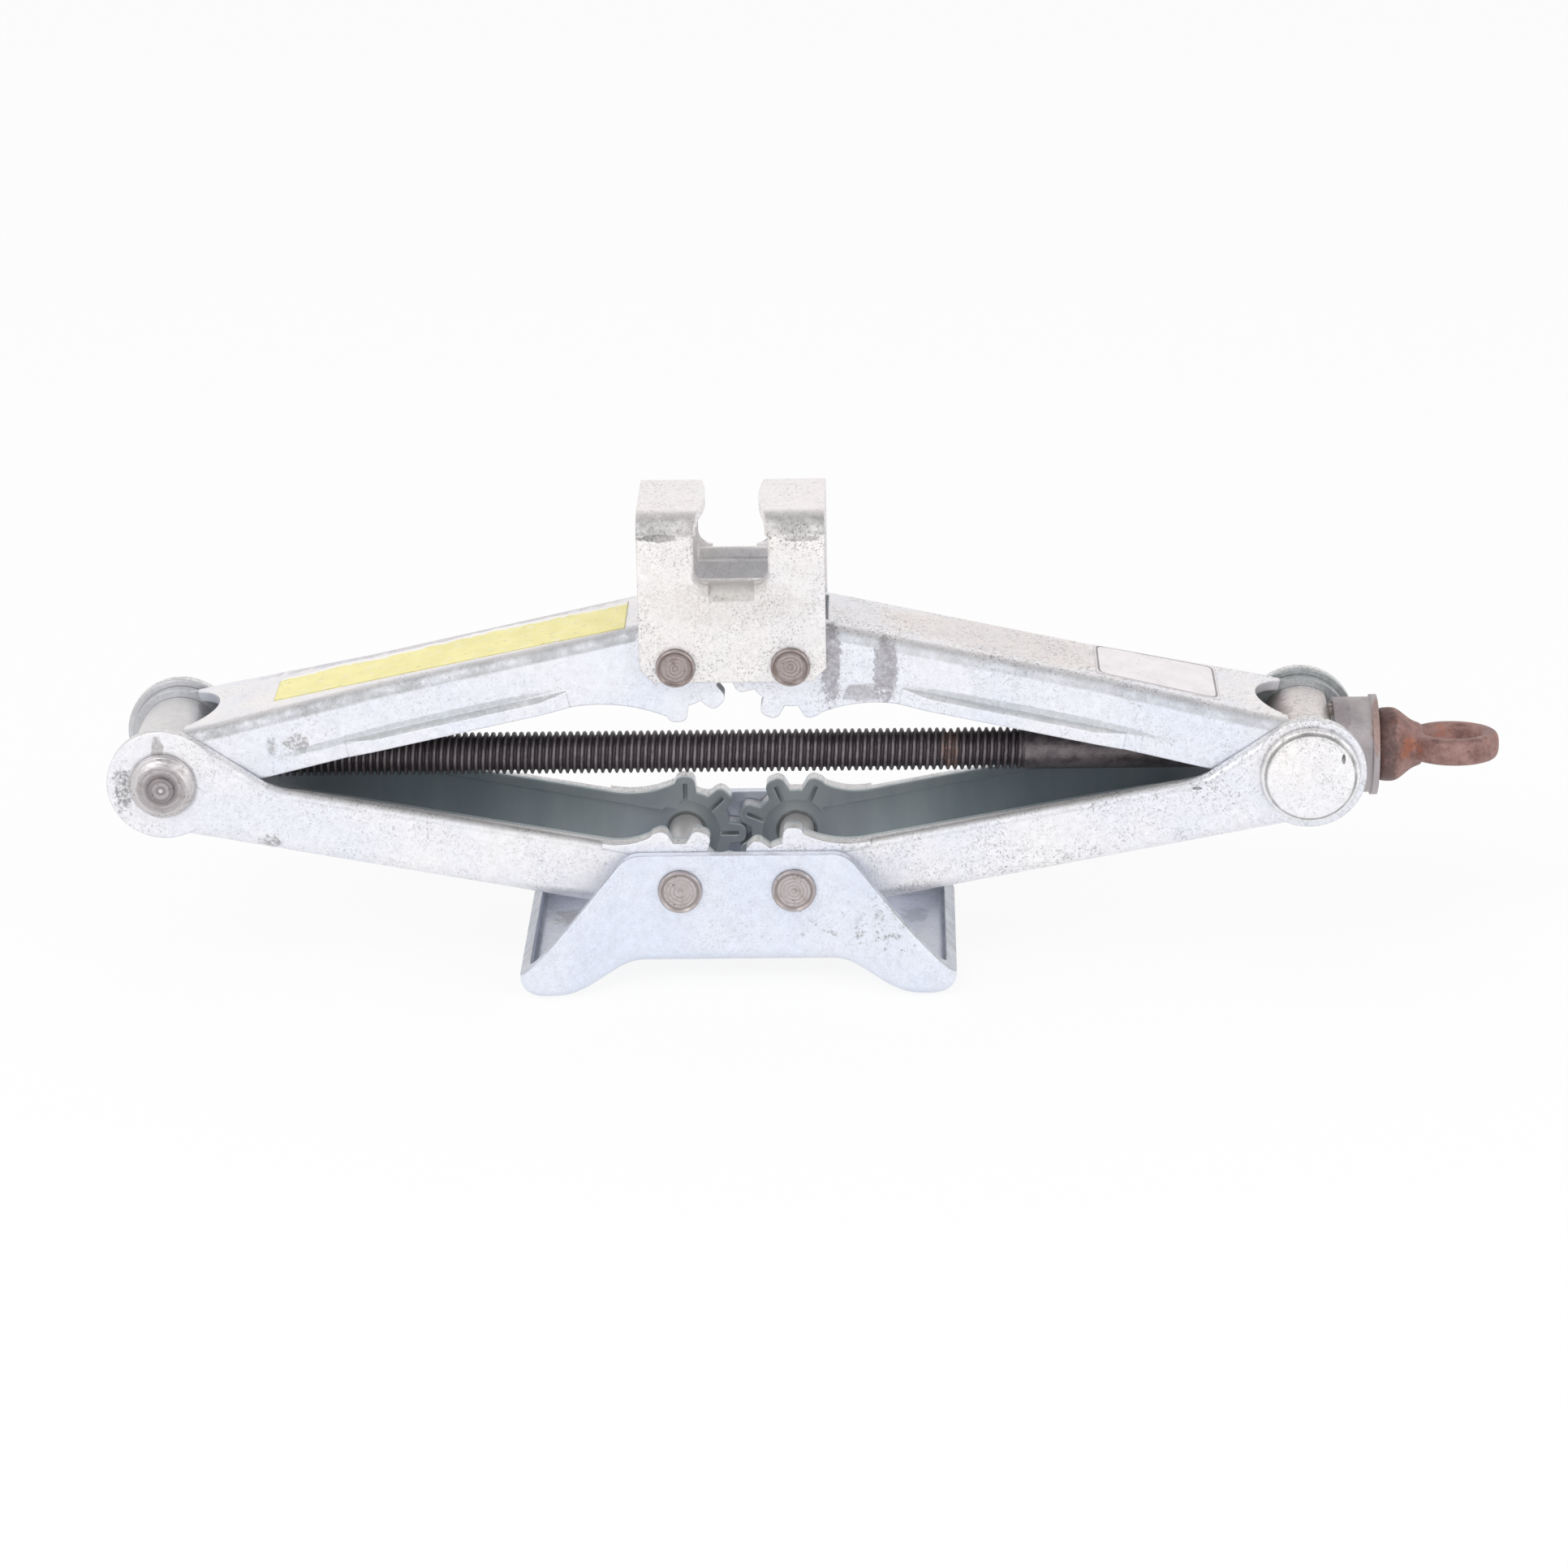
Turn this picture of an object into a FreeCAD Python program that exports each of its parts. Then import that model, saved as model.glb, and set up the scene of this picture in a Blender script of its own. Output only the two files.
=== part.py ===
import FreeCAD, Part
import math
import os

import Sketcher

Vector = FreeCAD.Vector

doc = FreeCAD.newDocument("scissor_jack")

# Driving dimensions, in millimetres and degrees
SIZES = {
    "pivot_half": 16.0,
    "arm_length": 148.0,
    "rest_angle": 12.5,
    "pivot_height": 28.5,
    "sheet_thick": 3.0,
    "plate_gap": 0.4,
    "pin_clearance": 0.1,
    "lower_half_width": 23.5,
    "upper_half_width": 16.5,
    "root_radius": 12.9,
    "tip_radius": 17.3,
    "tooth_pitch": 45.0,
    "tooth_root_half": 3.4,
    "tooth_tip_half": 2.6,
    "tooth_round": 2.2,
    "rim_depth": 5.5,
    "fold_width": 1.1,
    "fold_reach": 2.4,
    "neck_round": 24.0,
    "throat_tip": 17.0,
    "lower_throat": 24.0,
    "upper_throat": 34.0,
    "lower_disc_radius": 15.8,
    "lower_top_inner": 9.0,
    "lower_top_outer": 4.8,
    "lower_web_inner": 9.8,
    "lower_web_outer": 14.2,
    "neck_length": 30.0,
    "neck_angle": 64.0,
    "lip_fade_start": 28.0,
    "lip_fade_end": 50.0,
    "web_end_gear": 18.0,
    "web_end_disc": 17.0,
    "bend_radius": 4.0,
    "lip_radius": 2.5,
    "upper_disc_radius": 14.0,
    "upper_top": 12.6,
    "upper_drop": 5.8,
    "upper_web_end": 8.0,
    "upper_inside_end": 7.2,
    "upper_disc_gap": 8.85,
    "flare_start": 18.0,
    "flare_end": 60.0,
    "bead_height": 5.0,
    "bead_depth": 1.5,
    "bead_start": 32.0,
    "bead_end": 52.0,
    "bead_ramp": 8.0,
    "base_half_length": 61.6,
    "base_half_depth": 38.0,
    "base_end_land": 13.0,
    "base_flare_run": 19.0,
    "base_rise": 6.3,
    "base_foot_length": 16.0,
    "base_rise_run": 14.0,
    "base_fold_round": 22.0,
    "base_bend_radius": 4.5,
    "curb_height": 5.5,
    "ear_top": 10.5,
    "ear_margin": 15.0,
    "ear_round": 8.0,
    "saddle_half_length": 26.0,
    "saddle_top": 44.0,
    "saddle_drop": 4.6,
    "saddle_chamfer": 4.0,
    "saddle_bend_radius": 6.5,
    "notch_half": 10.3,
    "notch_seat": 24.0,
    "notch_lip": 6.0,
    "notch_lip_radius": 5.5,
    "pad_gap_half": 7.5,
    "notch_corner": 4.0,
    "notch_edge_round": 1.5,
    "base_pin_radius": 5.0,
    "base_head_radius": 6.15,
    "saddle_pin_radius": 4.5,
    "saddle_head_radius": 5.4,
    "head_proud": 1.6,
    "head_chamfer": 0.6,
    "trunnion_radius": 11.8,
    "stub_radius": 7.0,
    "boss_radius": 9.0,
    "boss_proud": 4.5,
    "boss_button_radius": 3.6,
    "trunnion_flat": 6.9,
    "plug_depth": 7.0,
    "flat_head_radius": 13.7,
    "flat_head_thick": 3.2,
    "flat_head_chamfer": 1.2,
    "screw_radius": 6.0,
    "screw_tail": 13.0,
    "screw_chamfer": 1.0,
    "race_thick": 3.75,
    "race_bore_radius": 6.3,
    "race_radius": 11.9,
    "ball_radius": 2.2,
    "ball_play": 0.05,
    "ball_circle_radius": 9.2,
    "ball_count": 10.0,
    "cage_thick": 2.0,
    "collar_radius": 13.5,
    "collar_wall": 1.3,
    "collar_end_wall": 1.4,
    "collar_gap": 1.0,
    "collar_rim_radius": 14.2,
    "collar_rim_thick": 1.8,
    "flange_radius": 10.5,
    "flange_length": 5.0,
    "flange_round": 2.0,
    "neck_taper": 8.0,
    "neck_waist": 5.6,
    "neck_waist_radius": 6.7,
    "neck_tip_radius": 6.0,
    "eye_hole_radius": 8.0,
    "eye_hole_place": 41.4,
    "eye_ring_radius": 13.0,
    "eye_ring_place": 42.0,
    "eye_thick": 7.6,
    "eye_round": 2.0,
    "eye_turn": 6.0,
    "shank_socket": 7.0,
}

sheet = doc.addObject("Spreadsheet::Sheet", "Sizes")
for row, (alias, value) in enumerate(SIZES.items(), start=1):
    sheet.set("A%d" % row, alias)
    sheet.set("B%d" % row, str(value))
    sheet.setAlias("B%d" % row, alias)
doc.recompute()


class Size:
    """A length or angle that knows its value and the sheet expression it comes from."""

    def __init__(self, value, text):
        self.value = value
        self.text = text

    @staticmethod
    def of(number):
        return number if isinstance(number, Size) else Size(float(number), repr(float(number)))

    def __add__(self, other):
        other = Size.of(other)
        return Size(self.value + other.value, "(%s + %s)" % (self.text, other.text))

    def __sub__(self, other):
        other = Size.of(other)
        return Size(self.value - other.value, "(%s - %s)" % (self.text, other.text))

    def __mul__(self, other):
        other = Size.of(other)
        return Size(self.value * other.value, "(%s * %s)" % (self.text, other.text))

    def __truediv__(self, other):
        other = Size.of(other)
        return Size(self.value / other.value, "(%s / %s)" % (self.text, other.text))

    def __neg__(self):
        return Size(-self.value, "(-1 * %s)" % self.text)


def size(alias):
    return Size(float(sheet.get(alias)), "Sizes.%s" % alias)


def cosine(angle):
    return Size(math.cos(math.radians(angle.value)), "cos(%s * 1deg)" % angle.text)


def sine(angle):
    return Size(math.sin(math.radians(angle.value)), "sin(%s * 1deg)" % angle.text)


def bind(item, prop, amount):
    amount = Size.of(amount)
    item.setExpression(prop, amount.text)


ORIGIN_POINT = (-1, 1)
HORIZONTAL_AXIS = -1
VERTICAL_AXIS = -2


def new_body(label):
    body = doc.addObject("PartDesign::Body", label)
    body.Label = label
    return body


def origin_feature(body, role):
    return next(item for item in body.Origin.OriginFeatures if item.Role == role)


def new_sketch(body, name, plane, offset=None):
    """A sketch on one of the body's own origin planes, moved along its normal by offset."""
    sketch = body.newObject("Sketcher::SketchObject", name)
    sketch.AttachmentSupport = [(origin_feature(body, plane), "")]
    sketch.MapMode = "FlatFace"
    if offset is not None:
        bind(sketch, "AttachmentOffset.Base.z", offset)
    return sketch


def pin_point(sketch, geometry, position, place):
    """Hold one point of the sketch at a pair of sheet sizes measured from its origin."""
    for kind, axis, amount in (("DistanceX", VERTICAL_AXIS, Size.of(place[0])),
                               ("DistanceY", HORIZONTAL_AXIS, Size.of(place[1]))):
        if abs(amount.value) < 1e-9:
            sketch.addConstraint(Sketcher.Constraint("PointOnObject", geometry, position, axis))
        elif amount.value > 0:
            index = sketch.addConstraint(
                Sketcher.Constraint(kind, *ORIGIN_POINT, geometry, position, amount.value))
            sketch.setExpression("Constraints[%d]" % index, amount.text)
        else:
            index = sketch.addConstraint(
                Sketcher.Constraint(kind, geometry, position, *ORIGIN_POINT, -amount.value))
            sketch.setExpression("Constraints[%d]" % index, (-amount).text)


def arc_between(start, end, radius):
    """The short arc from start to end, which turns left for a radius above zero, or else right."""
    chord = end - start
    side = Vector(-chord.y, chord.x, 0).normalize()
    rise = math.sqrt(radius ** 2 - chord.Length ** 2 / 4)
    centre = (start + end) / 2 + side * math.copysign(rise, radius)
    angles = [math.atan2(point.y - centre.y, point.x - centre.x) for point in (start, end)]
    if radius < 0:
        angles.reverse()
    return Part.ArcOfCircle(Part.Circle(centre, Vector(0, 0, 1), abs(radius)), *angles)


def add_polygon(sketch, corners, arcs=None):
    """A closed outline; arcs gives the radius of each side that isn't straight, by its number."""
    arcs = arcs or {}
    points = [Vector(Size.of(x).value, Size.of(y).value, 0) for x, y in corners]
    first = sketch.GeometryCount
    count = len(points)
    ends = []
    for index in range(count):
        start, end = points[index], points[(index + 1) % count]
        radius = arcs.get(index)
        turns_right = radius is not None and radius.value < 0
        ends.append((2, 1) if turns_right else (1, 2))
        side = Part.LineSegment(start, end) if radius is None else arc_between(start, end, radius.value)
        sketch.addGeometry(side, False)
    for index in range(count):
        following = (index + 1) % count
        sketch.addConstraint(Sketcher.Constraint("Coincident", first + index, ends[index][1],
                                                 first + following, ends[following][0]))
    for index, corner in enumerate(corners):
        pin_point(sketch, first + index, ends[index][0], corner)
    for index, radius in arcs.items():
        length = radius if radius.value > 0 else -radius
        number = sketch.addConstraint(Sketcher.Constraint("Radius", first + index, length.value))
        sketch.setExpression("Constraints[%d]" % number, length.text)


def add_circle(sketch, centre, radius):
    place = Vector(Size.of(centre[0]).value, Size.of(centre[1]).value, 0)
    radius = Size.of(radius)
    circle = sketch.addGeometry(Part.Circle(place, Vector(0, 0, 1), radius.value), False)
    pin_point(sketch, circle, 3, centre)
    index = sketch.addConstraint(Sketcher.Constraint("Radius", circle, radius.value))
    sketch.setExpression("Constraints[%d]" % index, radius.text)


def polygon_sketch(body, name, plane, corners, offset=None, arcs=None):
    sketch = new_sketch(body, name, plane, offset)
    add_polygon(sketch, corners, arcs)
    return sketch


def circle_sketch(body, name, plane, centre, radius, offset=None):
    sketch = new_sketch(body, name, plane, offset)
    add_circle(sketch, centre, radius)
    return sketch


def pad(body, sketch, name, length, symmetric=False, reverse=False):
    feature = body.newObject("PartDesign::Pad", name)
    feature.Profile = sketch
    feature.SideType = "Symmetric" if symmetric else "One side"
    feature.Reversed = reverse
    bind(feature, "Length", length)
    doc.recompute()
    return feature


def pocket(body, sketch, name, length=None, symmetric=False, reverse=False):
    """Cut the sketch to a length, or right through, and refuse a cut that removes nothing."""
    before = body.Shape.Volume
    feature = body.newObject("PartDesign::Pocket", name)
    feature.Profile = sketch
    feature.SideType = "Symmetric" if symmetric else "One side"
    feature.Reversed = reverse
    if length is None:
        feature.Type = "ThroughAll"
    else:
        bind(feature, "Length", length)
    doc.recompute()
    if body.Shape.Volume > before - 1e-3:
        raise RuntimeError("%s in %s removes nothing" % (name, body.Label))
    return feature


def revolve(body, name, plane, profile):
    """Turn a half profile about the sketch's horizontal axis."""
    sketch = polygon_sketch(body, name + "_profile", plane, profile)
    feature = body.newObject("PartDesign::Revolution", name)
    feature.Profile = sketch
    feature.ReferenceAxis = (sketch, ["H_Axis"])
    feature.Angle = 360.0
    doc.recompute()
    return feature


def edges_where(shape, test):
    return ["Edge%d" % number for number, edge in enumerate(shape.Edges, start=1) if test(edge)]


def fillet(body, name, radius, test):
    """Round the edges of the body that pass a test of their place."""
    base = body.Tip
    names = edges_where(base.Shape, test)
    feature = body.newObject("PartDesign::Fillet", name)
    feature.Base = (base, names)
    bind(feature, "Radius", radius)
    doc.recompute()
    if "Invalid" in feature.State or not names:
        raise RuntimeError("%s in %s fails on %d edges" % (name, body.Label, len(names)))
    return feature


NEAR = 0.02


def is_close(first, second):
    return abs(first - Size.of(second).value) < NEAR


def middle_of(edge):
    return edge.valueAt((edge.FirstParameter + edge.LastParameter) / 2)


def is_straight(edge, axis):
    """True for a straight edge that runs along one axis, given as x, y or z."""
    if edge.Curve.TypeId != "Part::GeomLine":
        return False
    along = edge.tangentAt(edge.FirstParameter)
    return abs(abs(getattr(along, axis)) - 1) < 1e-6


def place(item, where, axis=None, angle=None):
    """Bind an item's position to the sheet, with a turn about one axis."""
    if axis is not None:
        item.Placement = FreeCAD.Placement(Vector(), FreeCAD.Rotation(Vector(*axis), 1.0))
        bind(item, "Placement.Rotation.Angle", angle)
    for letter, amount in zip("xyz", where):
        bind(item, "Placement.Base." + letter, amount)


# Sizes worked out from the driving dimensions
pivot_half = size("pivot_half")
arm_length = size("arm_length")
rest_angle = size("rest_angle")
sheet_thick = size("sheet_thick")
plate_gap = size("plate_gap")
lower_half = size("lower_half_width")
lower_inner = lower_half - sheet_thick
upper_half = size("upper_half_width")
upper_inner = upper_half - sheet_thick
upper_wide = lower_inner - plate_gap
upper_wide_inner = upper_wide - sheet_thick
ear_inner = lower_half + plate_gap
ear_outer = ear_inner + sheet_thick
saddle_inner = upper_half + plate_gap
saddle_outer = saddle_inner + sheet_thick
arm_reach = arm_length * cosine(rest_angle)
arm_rise = arm_length * sine(rest_angle)
side_pivot_x = pivot_half + arm_reach
eye_reach = size("eye_ring_place") + size("eye_ring_radius")
foot_x = (size("lower_disc_radius") - eye_reach) / 2
left_x = foot_x - side_pivot_x
right_x = foot_x + side_pivot_x
base_pivot_z = size("pivot_height")
side_pivot_z = base_pivot_z + arm_rise
saddle_pivot_z = side_pivot_z + arm_rise
BEYOND = size("arm_length")
LEFT = -1
RIGHT = 1


def band_corners(angle, foot, tip, foot_half, tip_half):
    """Corners of a tapered band that points along an angle, from one radius to another."""
    along = cosine(angle)
    across = sine(angle)
    corners = []
    for radius, half in ((foot, -foot_half), (tip, -tip_half), (tip, tip_half), (foot, foot_half)):
        corners.append((radius * along - half * across, radius * across + half * along))
    return corners


def tooth_corners(angle):
    """A tapered tooth, from inside the root circle to the tip circle."""
    foot = size("root_radius") - sheet_thick / 2
    return band_corners(angle, foot, size("tip_radius"), size("tooth_root_half"), size("tooth_tip_half"))


def add_throat(body, side, half_width, last_angle, turn, reach, level, depth):
    """The curve by which a plate's edge, at a level, runs out into its last tooth."""
    tip = size("throat_tip")
    end = (tip * cosine(last_angle), tip * sine(last_angle))
    run = end[0] + reach
    rise = end[1] - level
    radius = (run * run + rise * rise) / (rise * 2)
    inner = level - sheet_thick * turn / 2
    corners = [(-reach, level), end, (end[0], inner), (-reach, inner)]
    offset = half_width - depth if side == "front" else -half_width
    sketch = polygon_sketch(body, side + "_throat_outline", "XZ_Plane", corners, offset, {0: radius})
    pad(body, sketch, side + "_throat", depth)


def add_teeth(body, half_width, first_angles, turn, throat):
    """Teeth on the two plates of an arm, half a pitch apart, as deep as the flanged rim.

    first_angles gives the front and back plates' first tooth and count, turn is the sense
    in which the next teeth follow, and throat is the reach, level and depth of the curve
    between the last tooth and the plate's edge.
    """
    rim = size("rim_depth")
    teeth = []
    for side, (angle, count) in first_angles.items():
        offset = half_width - rim if side == "front" else -half_width
        for number in range(count):
            corners = tooth_corners(angle + size("tooth_pitch") * (turn * number))
            name = "%s_tooth_%d" % (side, number)
            sketch = polygon_sketch(body, name + "_outline", "XZ_Plane", corners, offset)
            pad(body, sketch, name, rim)
            teeth.append((side, name, angle + size("tooth_pitch") * (turn * number)))
    tip = math.hypot(size("tip_radius").value, size("tooth_tip_half").value)

    def at_tip(edge):
        here = middle_of(edge)
        return is_straight(edge, "y") and is_close(math.hypot(here.x, here.z), tip)

    fillet(body, "tooth_rounding", size("tooth_round"), at_tip)
    for side, (angle, count) in first_angles.items():
        add_throat(body, side, half_width, angle + size("tooth_pitch") * (turn * (count - 1)), turn, *throat)
    fold_depth = rim - sheet_thick
    hub = size("root_radius") - sheet_thick
    for side, name, angle in teeth:
        offset = half_width - rim if side == "front" else rim - half_width
        corners = band_corners(angle, hub * 0.9, size("root_radius") + size("fold_reach"),
                               size("fold_width") / 2, size("fold_width") / 2)
        sketch = polygon_sketch(body, name + "_fold_outline", "XZ_Plane", corners, offset)
        pocket(body, sketch, name + "_fold", fold_depth, reverse=side == "front")


def make_lower_arm(label):
    """A channel pressed from sheet, open upwards, with lips along its free edges.

    The arm lies along -X from its base pivot at the origin. Its inner end is a flanged gear
    sector on both plates, and its outer end is a pair of discs for the trunnion.
    """
    body = new_body(label)
    trunnion = (-arm_length, Size.of(0))
    neck_end = size("lower_disc_radius") * cosine(size("neck_angle"))
    neck_top = size("lower_disc_radius") * sine(size("neck_angle"))
    outline = [
        (Size.of(0), size("lower_top_inner")),
        (-(arm_length - size("neck_length")), size("lower_top_outer")),
        (-(arm_length - neck_end), neck_top),
        (-arm_length, neck_top),
        (-arm_length, -size("lower_web_outer")),
        (Size.of(0), -size("lower_web_inner")),
    ]
    pad(body, polygon_sketch(body, "channel_outline", "XZ_Plane", outline), "channel", lower_half * 2, True)

    def is_long_bend(edge):
        here = middle_of(edge)
        return is_close(abs(here.y), lower_half) and edge.Length > arm_length.value / 2

    neck = arm_length - size("neck_length")
    fillet(body, "neck_curve", size("neck_round"),
           lambda edge: is_straight(edge, "y") and is_close(middle_of(edge).x, -neck))
    fillet(body, "web_bends", size("bend_radius"), lambda edge: is_long_bend(edge) and middle_of(edge).z < 0)
    fillet(body, "lip_bends", size("lip_radius"), lambda edge: is_long_bend(edge) and middle_of(edge).z > 0)
    centre = (Size.of(0), Size.of(0))
    gear = circle_sketch(body, "gear_root_outline", "XZ_Plane", centre, size("root_radius"))
    pad(body, gear, "gear_root", lower_half * 2, True)
    disc = circle_sketch(body, "disc_outline", "XZ_Plane", trunnion, size("lower_disc_radius"))
    pad(body, disc, "disc", lower_half * 2, True)

    slope_top = (size("lower_top_inner") - size("lower_top_outer")) / (arm_length - size("neck_length"))
    slope_web = (size("lower_web_outer") - size("lower_web_inner")) / arm_length
    inside = []
    for reach in (size("web_end_gear") / 2, arm_length - size("neck_length")):
        inside.append((-reach, size("lower_top_inner") - slope_top * reach - sheet_thick))
    inside.append((-(arm_length - neck_end), size("lower_disc_radius") * 2))
    inside.append((-(arm_length + BEYOND), size("lower_disc_radius") * 2))
    for reach in (arm_length + BEYOND, size("web_end_gear") / 2):
        inside.append((-reach, sheet_thick - size("lower_web_inner") - slope_web * reach))
    pocket(body, polygon_sketch(body, "inside_outline", "XZ_Plane", inside), "inside", lower_inner * 2, True)

    lip_half = lower_half - size("rim_depth")
    fade_start = arm_length - size("lip_fade_start")
    fade_end = arm_length - size("lip_fade_end")
    opening = []
    for sign in (1, -1):
        edge = [(BEYOND, lip_half), (-fade_end, lip_half), (-fade_start, lower_inner),
                (-(arm_length + BEYOND), lower_inner)]
        corners = [(x, y * sign) for x, y in edge]
        opening += corners if sign > 0 else corners[::-1]
    pocket(body, polygon_sketch(body, "opening_outline", "XY_Plane", opening), "opening", reverse=True)

    gear_gap = [(BEYOND, lip_half), (-size("web_end_gear"), lip_half),
                (-size("web_end_gear"), -lip_half), (BEYOND, -lip_half)]
    pocket(body, polygon_sketch(body, "gear_gap_outline", "XY_Plane", gear_gap), "gear_gap")
    web_stop = arm_length - size("web_end_disc")
    disc_gap = [(-web_stop, lower_inner), (-(arm_length + BEYOND), lower_inner),
                (-(arm_length + BEYOND), -lower_inner), (-web_stop, -lower_inner)]
    pocket(body, polygon_sketch(body, "disc_gap_outline", "XY_Plane", disc_gap), "disc_gap")
    hub = circle_sketch(body, "hub_outline", "XZ_Plane", centre, size("root_radius") - sheet_thick)
    pocket(body, hub, "hub", lower_inner * 2, True)

    half_pitch = size("tooth_pitch") / 2
    reach = size("lower_throat")
    level = size("lower_top_inner") - slope_top * reach
    add_teeth(body, lower_half, {"front": (rest_angle - half_pitch, 4), "back": (rest_angle, 3)}, 1,
              (reach, level, size("rim_depth")))
    hole = circle_sketch(body, "pin_hole_outline", "XZ_Plane", centre,
                         size("base_pin_radius") + size("pin_clearance"))
    pocket(body, hole, "pin_hole", BEYOND, True)
    hole = circle_sketch(body, "stub_hole_outline", "XZ_Plane", trunnion,
                         size("stub_radius") + size("pin_clearance"))
    pocket(body, hole, "stub_hole", BEYOND, True)
    place_arm(body, base_pivot_z, rest_angle)
    return body


def place_arm(body, height, angle):
    """Set a left arm at its pivot, tilted about the pin."""
    bind(body, "Placement.Base.x", foot_x - pivot_half)
    bind(body, "Placement.Base.z", height)
    body.Placement = FreeCAD.Placement(Vector(), FreeCAD.Rotation(Vector(0, 1, 0), 1.0))
    bind(body, "Placement.Rotation.Angle", angle)
    doc.recompute()


def make_right_arm(label, left_arm):
    """The right arm is the same pressing as the left one, turned half round the vertical."""
    arm = doc.addObject("Part::Compound", label)
    arm.Links = [left_arm]
    arm.Placement = FreeCAD.Placement(Vector(), FreeCAD.Rotation(Vector(0, 0, 1), 180.0))
    bind(arm, "Placement.Base.x", foot_x * 2)
    doc.recompute()
    return arm


def make_upper_arm(label):
    """A channel pressed from sheet, open downwards, that widens towards its trunnion.

    The arm lies along -X from its saddle pivot at the origin. A pressed bead runs along the
    lower part of each wall, and the web stops short of the trunnion in a round notch.
    """
    body = new_body(label)
    trunnion = (-arm_length, Size.of(0))
    flare_in = arm_length - size("flare_end")
    flare_out = arm_length - size("flare_start")

    def plan(narrow, wide, start, finish):
        near_edge = [(start, narrow), (-flare_in, narrow), (-flare_out, wide), (finish, wide)]
        return near_edge + [(x, -y) for x, y in near_edge[::-1]]

    height = size("upper_top") + size("upper_drop")
    blank = polygon_sketch(body, "plan_outline", "XY_Plane",
                           plan(upper_half, upper_wide, Size.of(0), -arm_length), -size("upper_drop"))
    pad(body, blank, "channel", height)

    def is_top_side(edge):
        here = middle_of(edge)
        return is_close(here.z, size("upper_top")) and abs(here.y) > upper_inner.value

    fillet(body, "web_bends", size("bend_radius"), is_top_side)
    centre = (Size.of(0), Size.of(0))
    gear = circle_sketch(body, "gear_root_outline", "XZ_Plane", centre, size("root_radius"))
    pad(body, gear, "gear_root", upper_half * 2, True)
    disc = circle_sketch(body, "disc_outline", "XZ_Plane", trunnion, size("upper_disc_radius"))
    pad(body, disc, "disc", upper_wide * 2, True)

    def wall_at(reach):
        """Half the arm's outer width at a distance from the saddle pivot."""
        if reach.value < flare_in.value:
            return upper_half
        return upper_half + (upper_wide - upper_half) * (reach - flare_in) / (flare_out - flare_in)

    bead_finish = arm_length - size("bead_end")
    stations = [(size("bead_start"), 0.2), (size("bead_start") + size("bead_ramp"), 1.0),
                (bead_finish - size("bead_ramp"), 1.0), (bead_finish, 0.2)]
    low = -size("upper_drop")
    high = low + size("bead_height")
    for sign, name in ((-1, "front"), (1, "back")):
        sections = []
        for number, (reach, share) in enumerate(stations):
            wall = wall_at(reach)
            bulge = size("bead_depth") * share
            corners = [(wall - 1.0, low), (wall + bulge, low), (wall + bulge, high - bulge), (wall, high),
                       (wall - 1.0, high)]
            sections.append(polygon_sketch(body, "%s_bead_%d" % (name, number), "YZ_Plane",
                                           [(y * sign, z) for y, z in corners], -reach))
        bead = body.newObject("PartDesign::AdditiveLoft", name + "_bead")
        bead.Profile = sections[0]
        bead.Sections = sections[1:]
        bead.Ruled = True
        doc.recompute()

    inner_plan = plan(upper_inner, upper_wide_inner, -size("upper_inside_end"), -(arm_length + BEYOND))
    inside = polygon_sketch(body, "inside_outline", "XY_Plane", inner_plan, size("upper_top") - sheet_thick)
    pocket(body, inside, "inside")

    rim_half = upper_half - size("rim_depth")
    gear_gap = [(BEYOND, rim_half), (-size("upper_web_end"), rim_half),
                (-size("upper_web_end"), -rim_half), (BEYOND, -rim_half)]
    sketch = polygon_sketch(body, "gear_gap_outline", "XY_Plane", gear_gap, BEYOND)
    pocket(body, sketch, "gear_gap")
    notch = circle_sketch(body, "web_notch_outline", "XY_Plane", trunnion, upper_wide_inner, BEYOND)
    pocket(body, notch, "web_notch")
    clear = arm_length - size("upper_disc_gap")
    disc_gap = [(-clear, upper_wide_inner), (-(arm_length + BEYOND), upper_wide_inner),
                (-(arm_length + BEYOND), -upper_wide_inner), (-clear, -upper_wide_inner)]
    pocket(body, polygon_sketch(body, "disc_gap_outline", "XY_Plane", disc_gap, BEYOND), "disc_gap")
    hub = circle_sketch(body, "hub_outline", "XZ_Plane", centre, size("root_radius") - sheet_thick)
    pocket(body, hub, "hub", upper_inner * 2, True)

    half_pitch = size("tooth_pitch") / 2
    add_teeth(body, upper_half, {"front": (-rest_angle, 3), "back": (half_pitch - rest_angle, 4)}, -1,
              (size("upper_throat"), -size("upper_drop"), sheet_thick))
    hole = circle_sketch(body, "pin_hole_outline", "XZ_Plane", centre,
                         size("saddle_pin_radius") + size("pin_clearance"))
    pocket(body, hole, "pin_hole", BEYOND, True)
    hole = circle_sketch(body, "stub_hole_outline", "XZ_Plane", trunnion,
                         size("stub_radius") + size("pin_clearance"))
    pocket(body, hole, "stub_hole", BEYOND, True)
    place_arm(body, saddle_pivot_z, -rest_angle)
    return body


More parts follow.
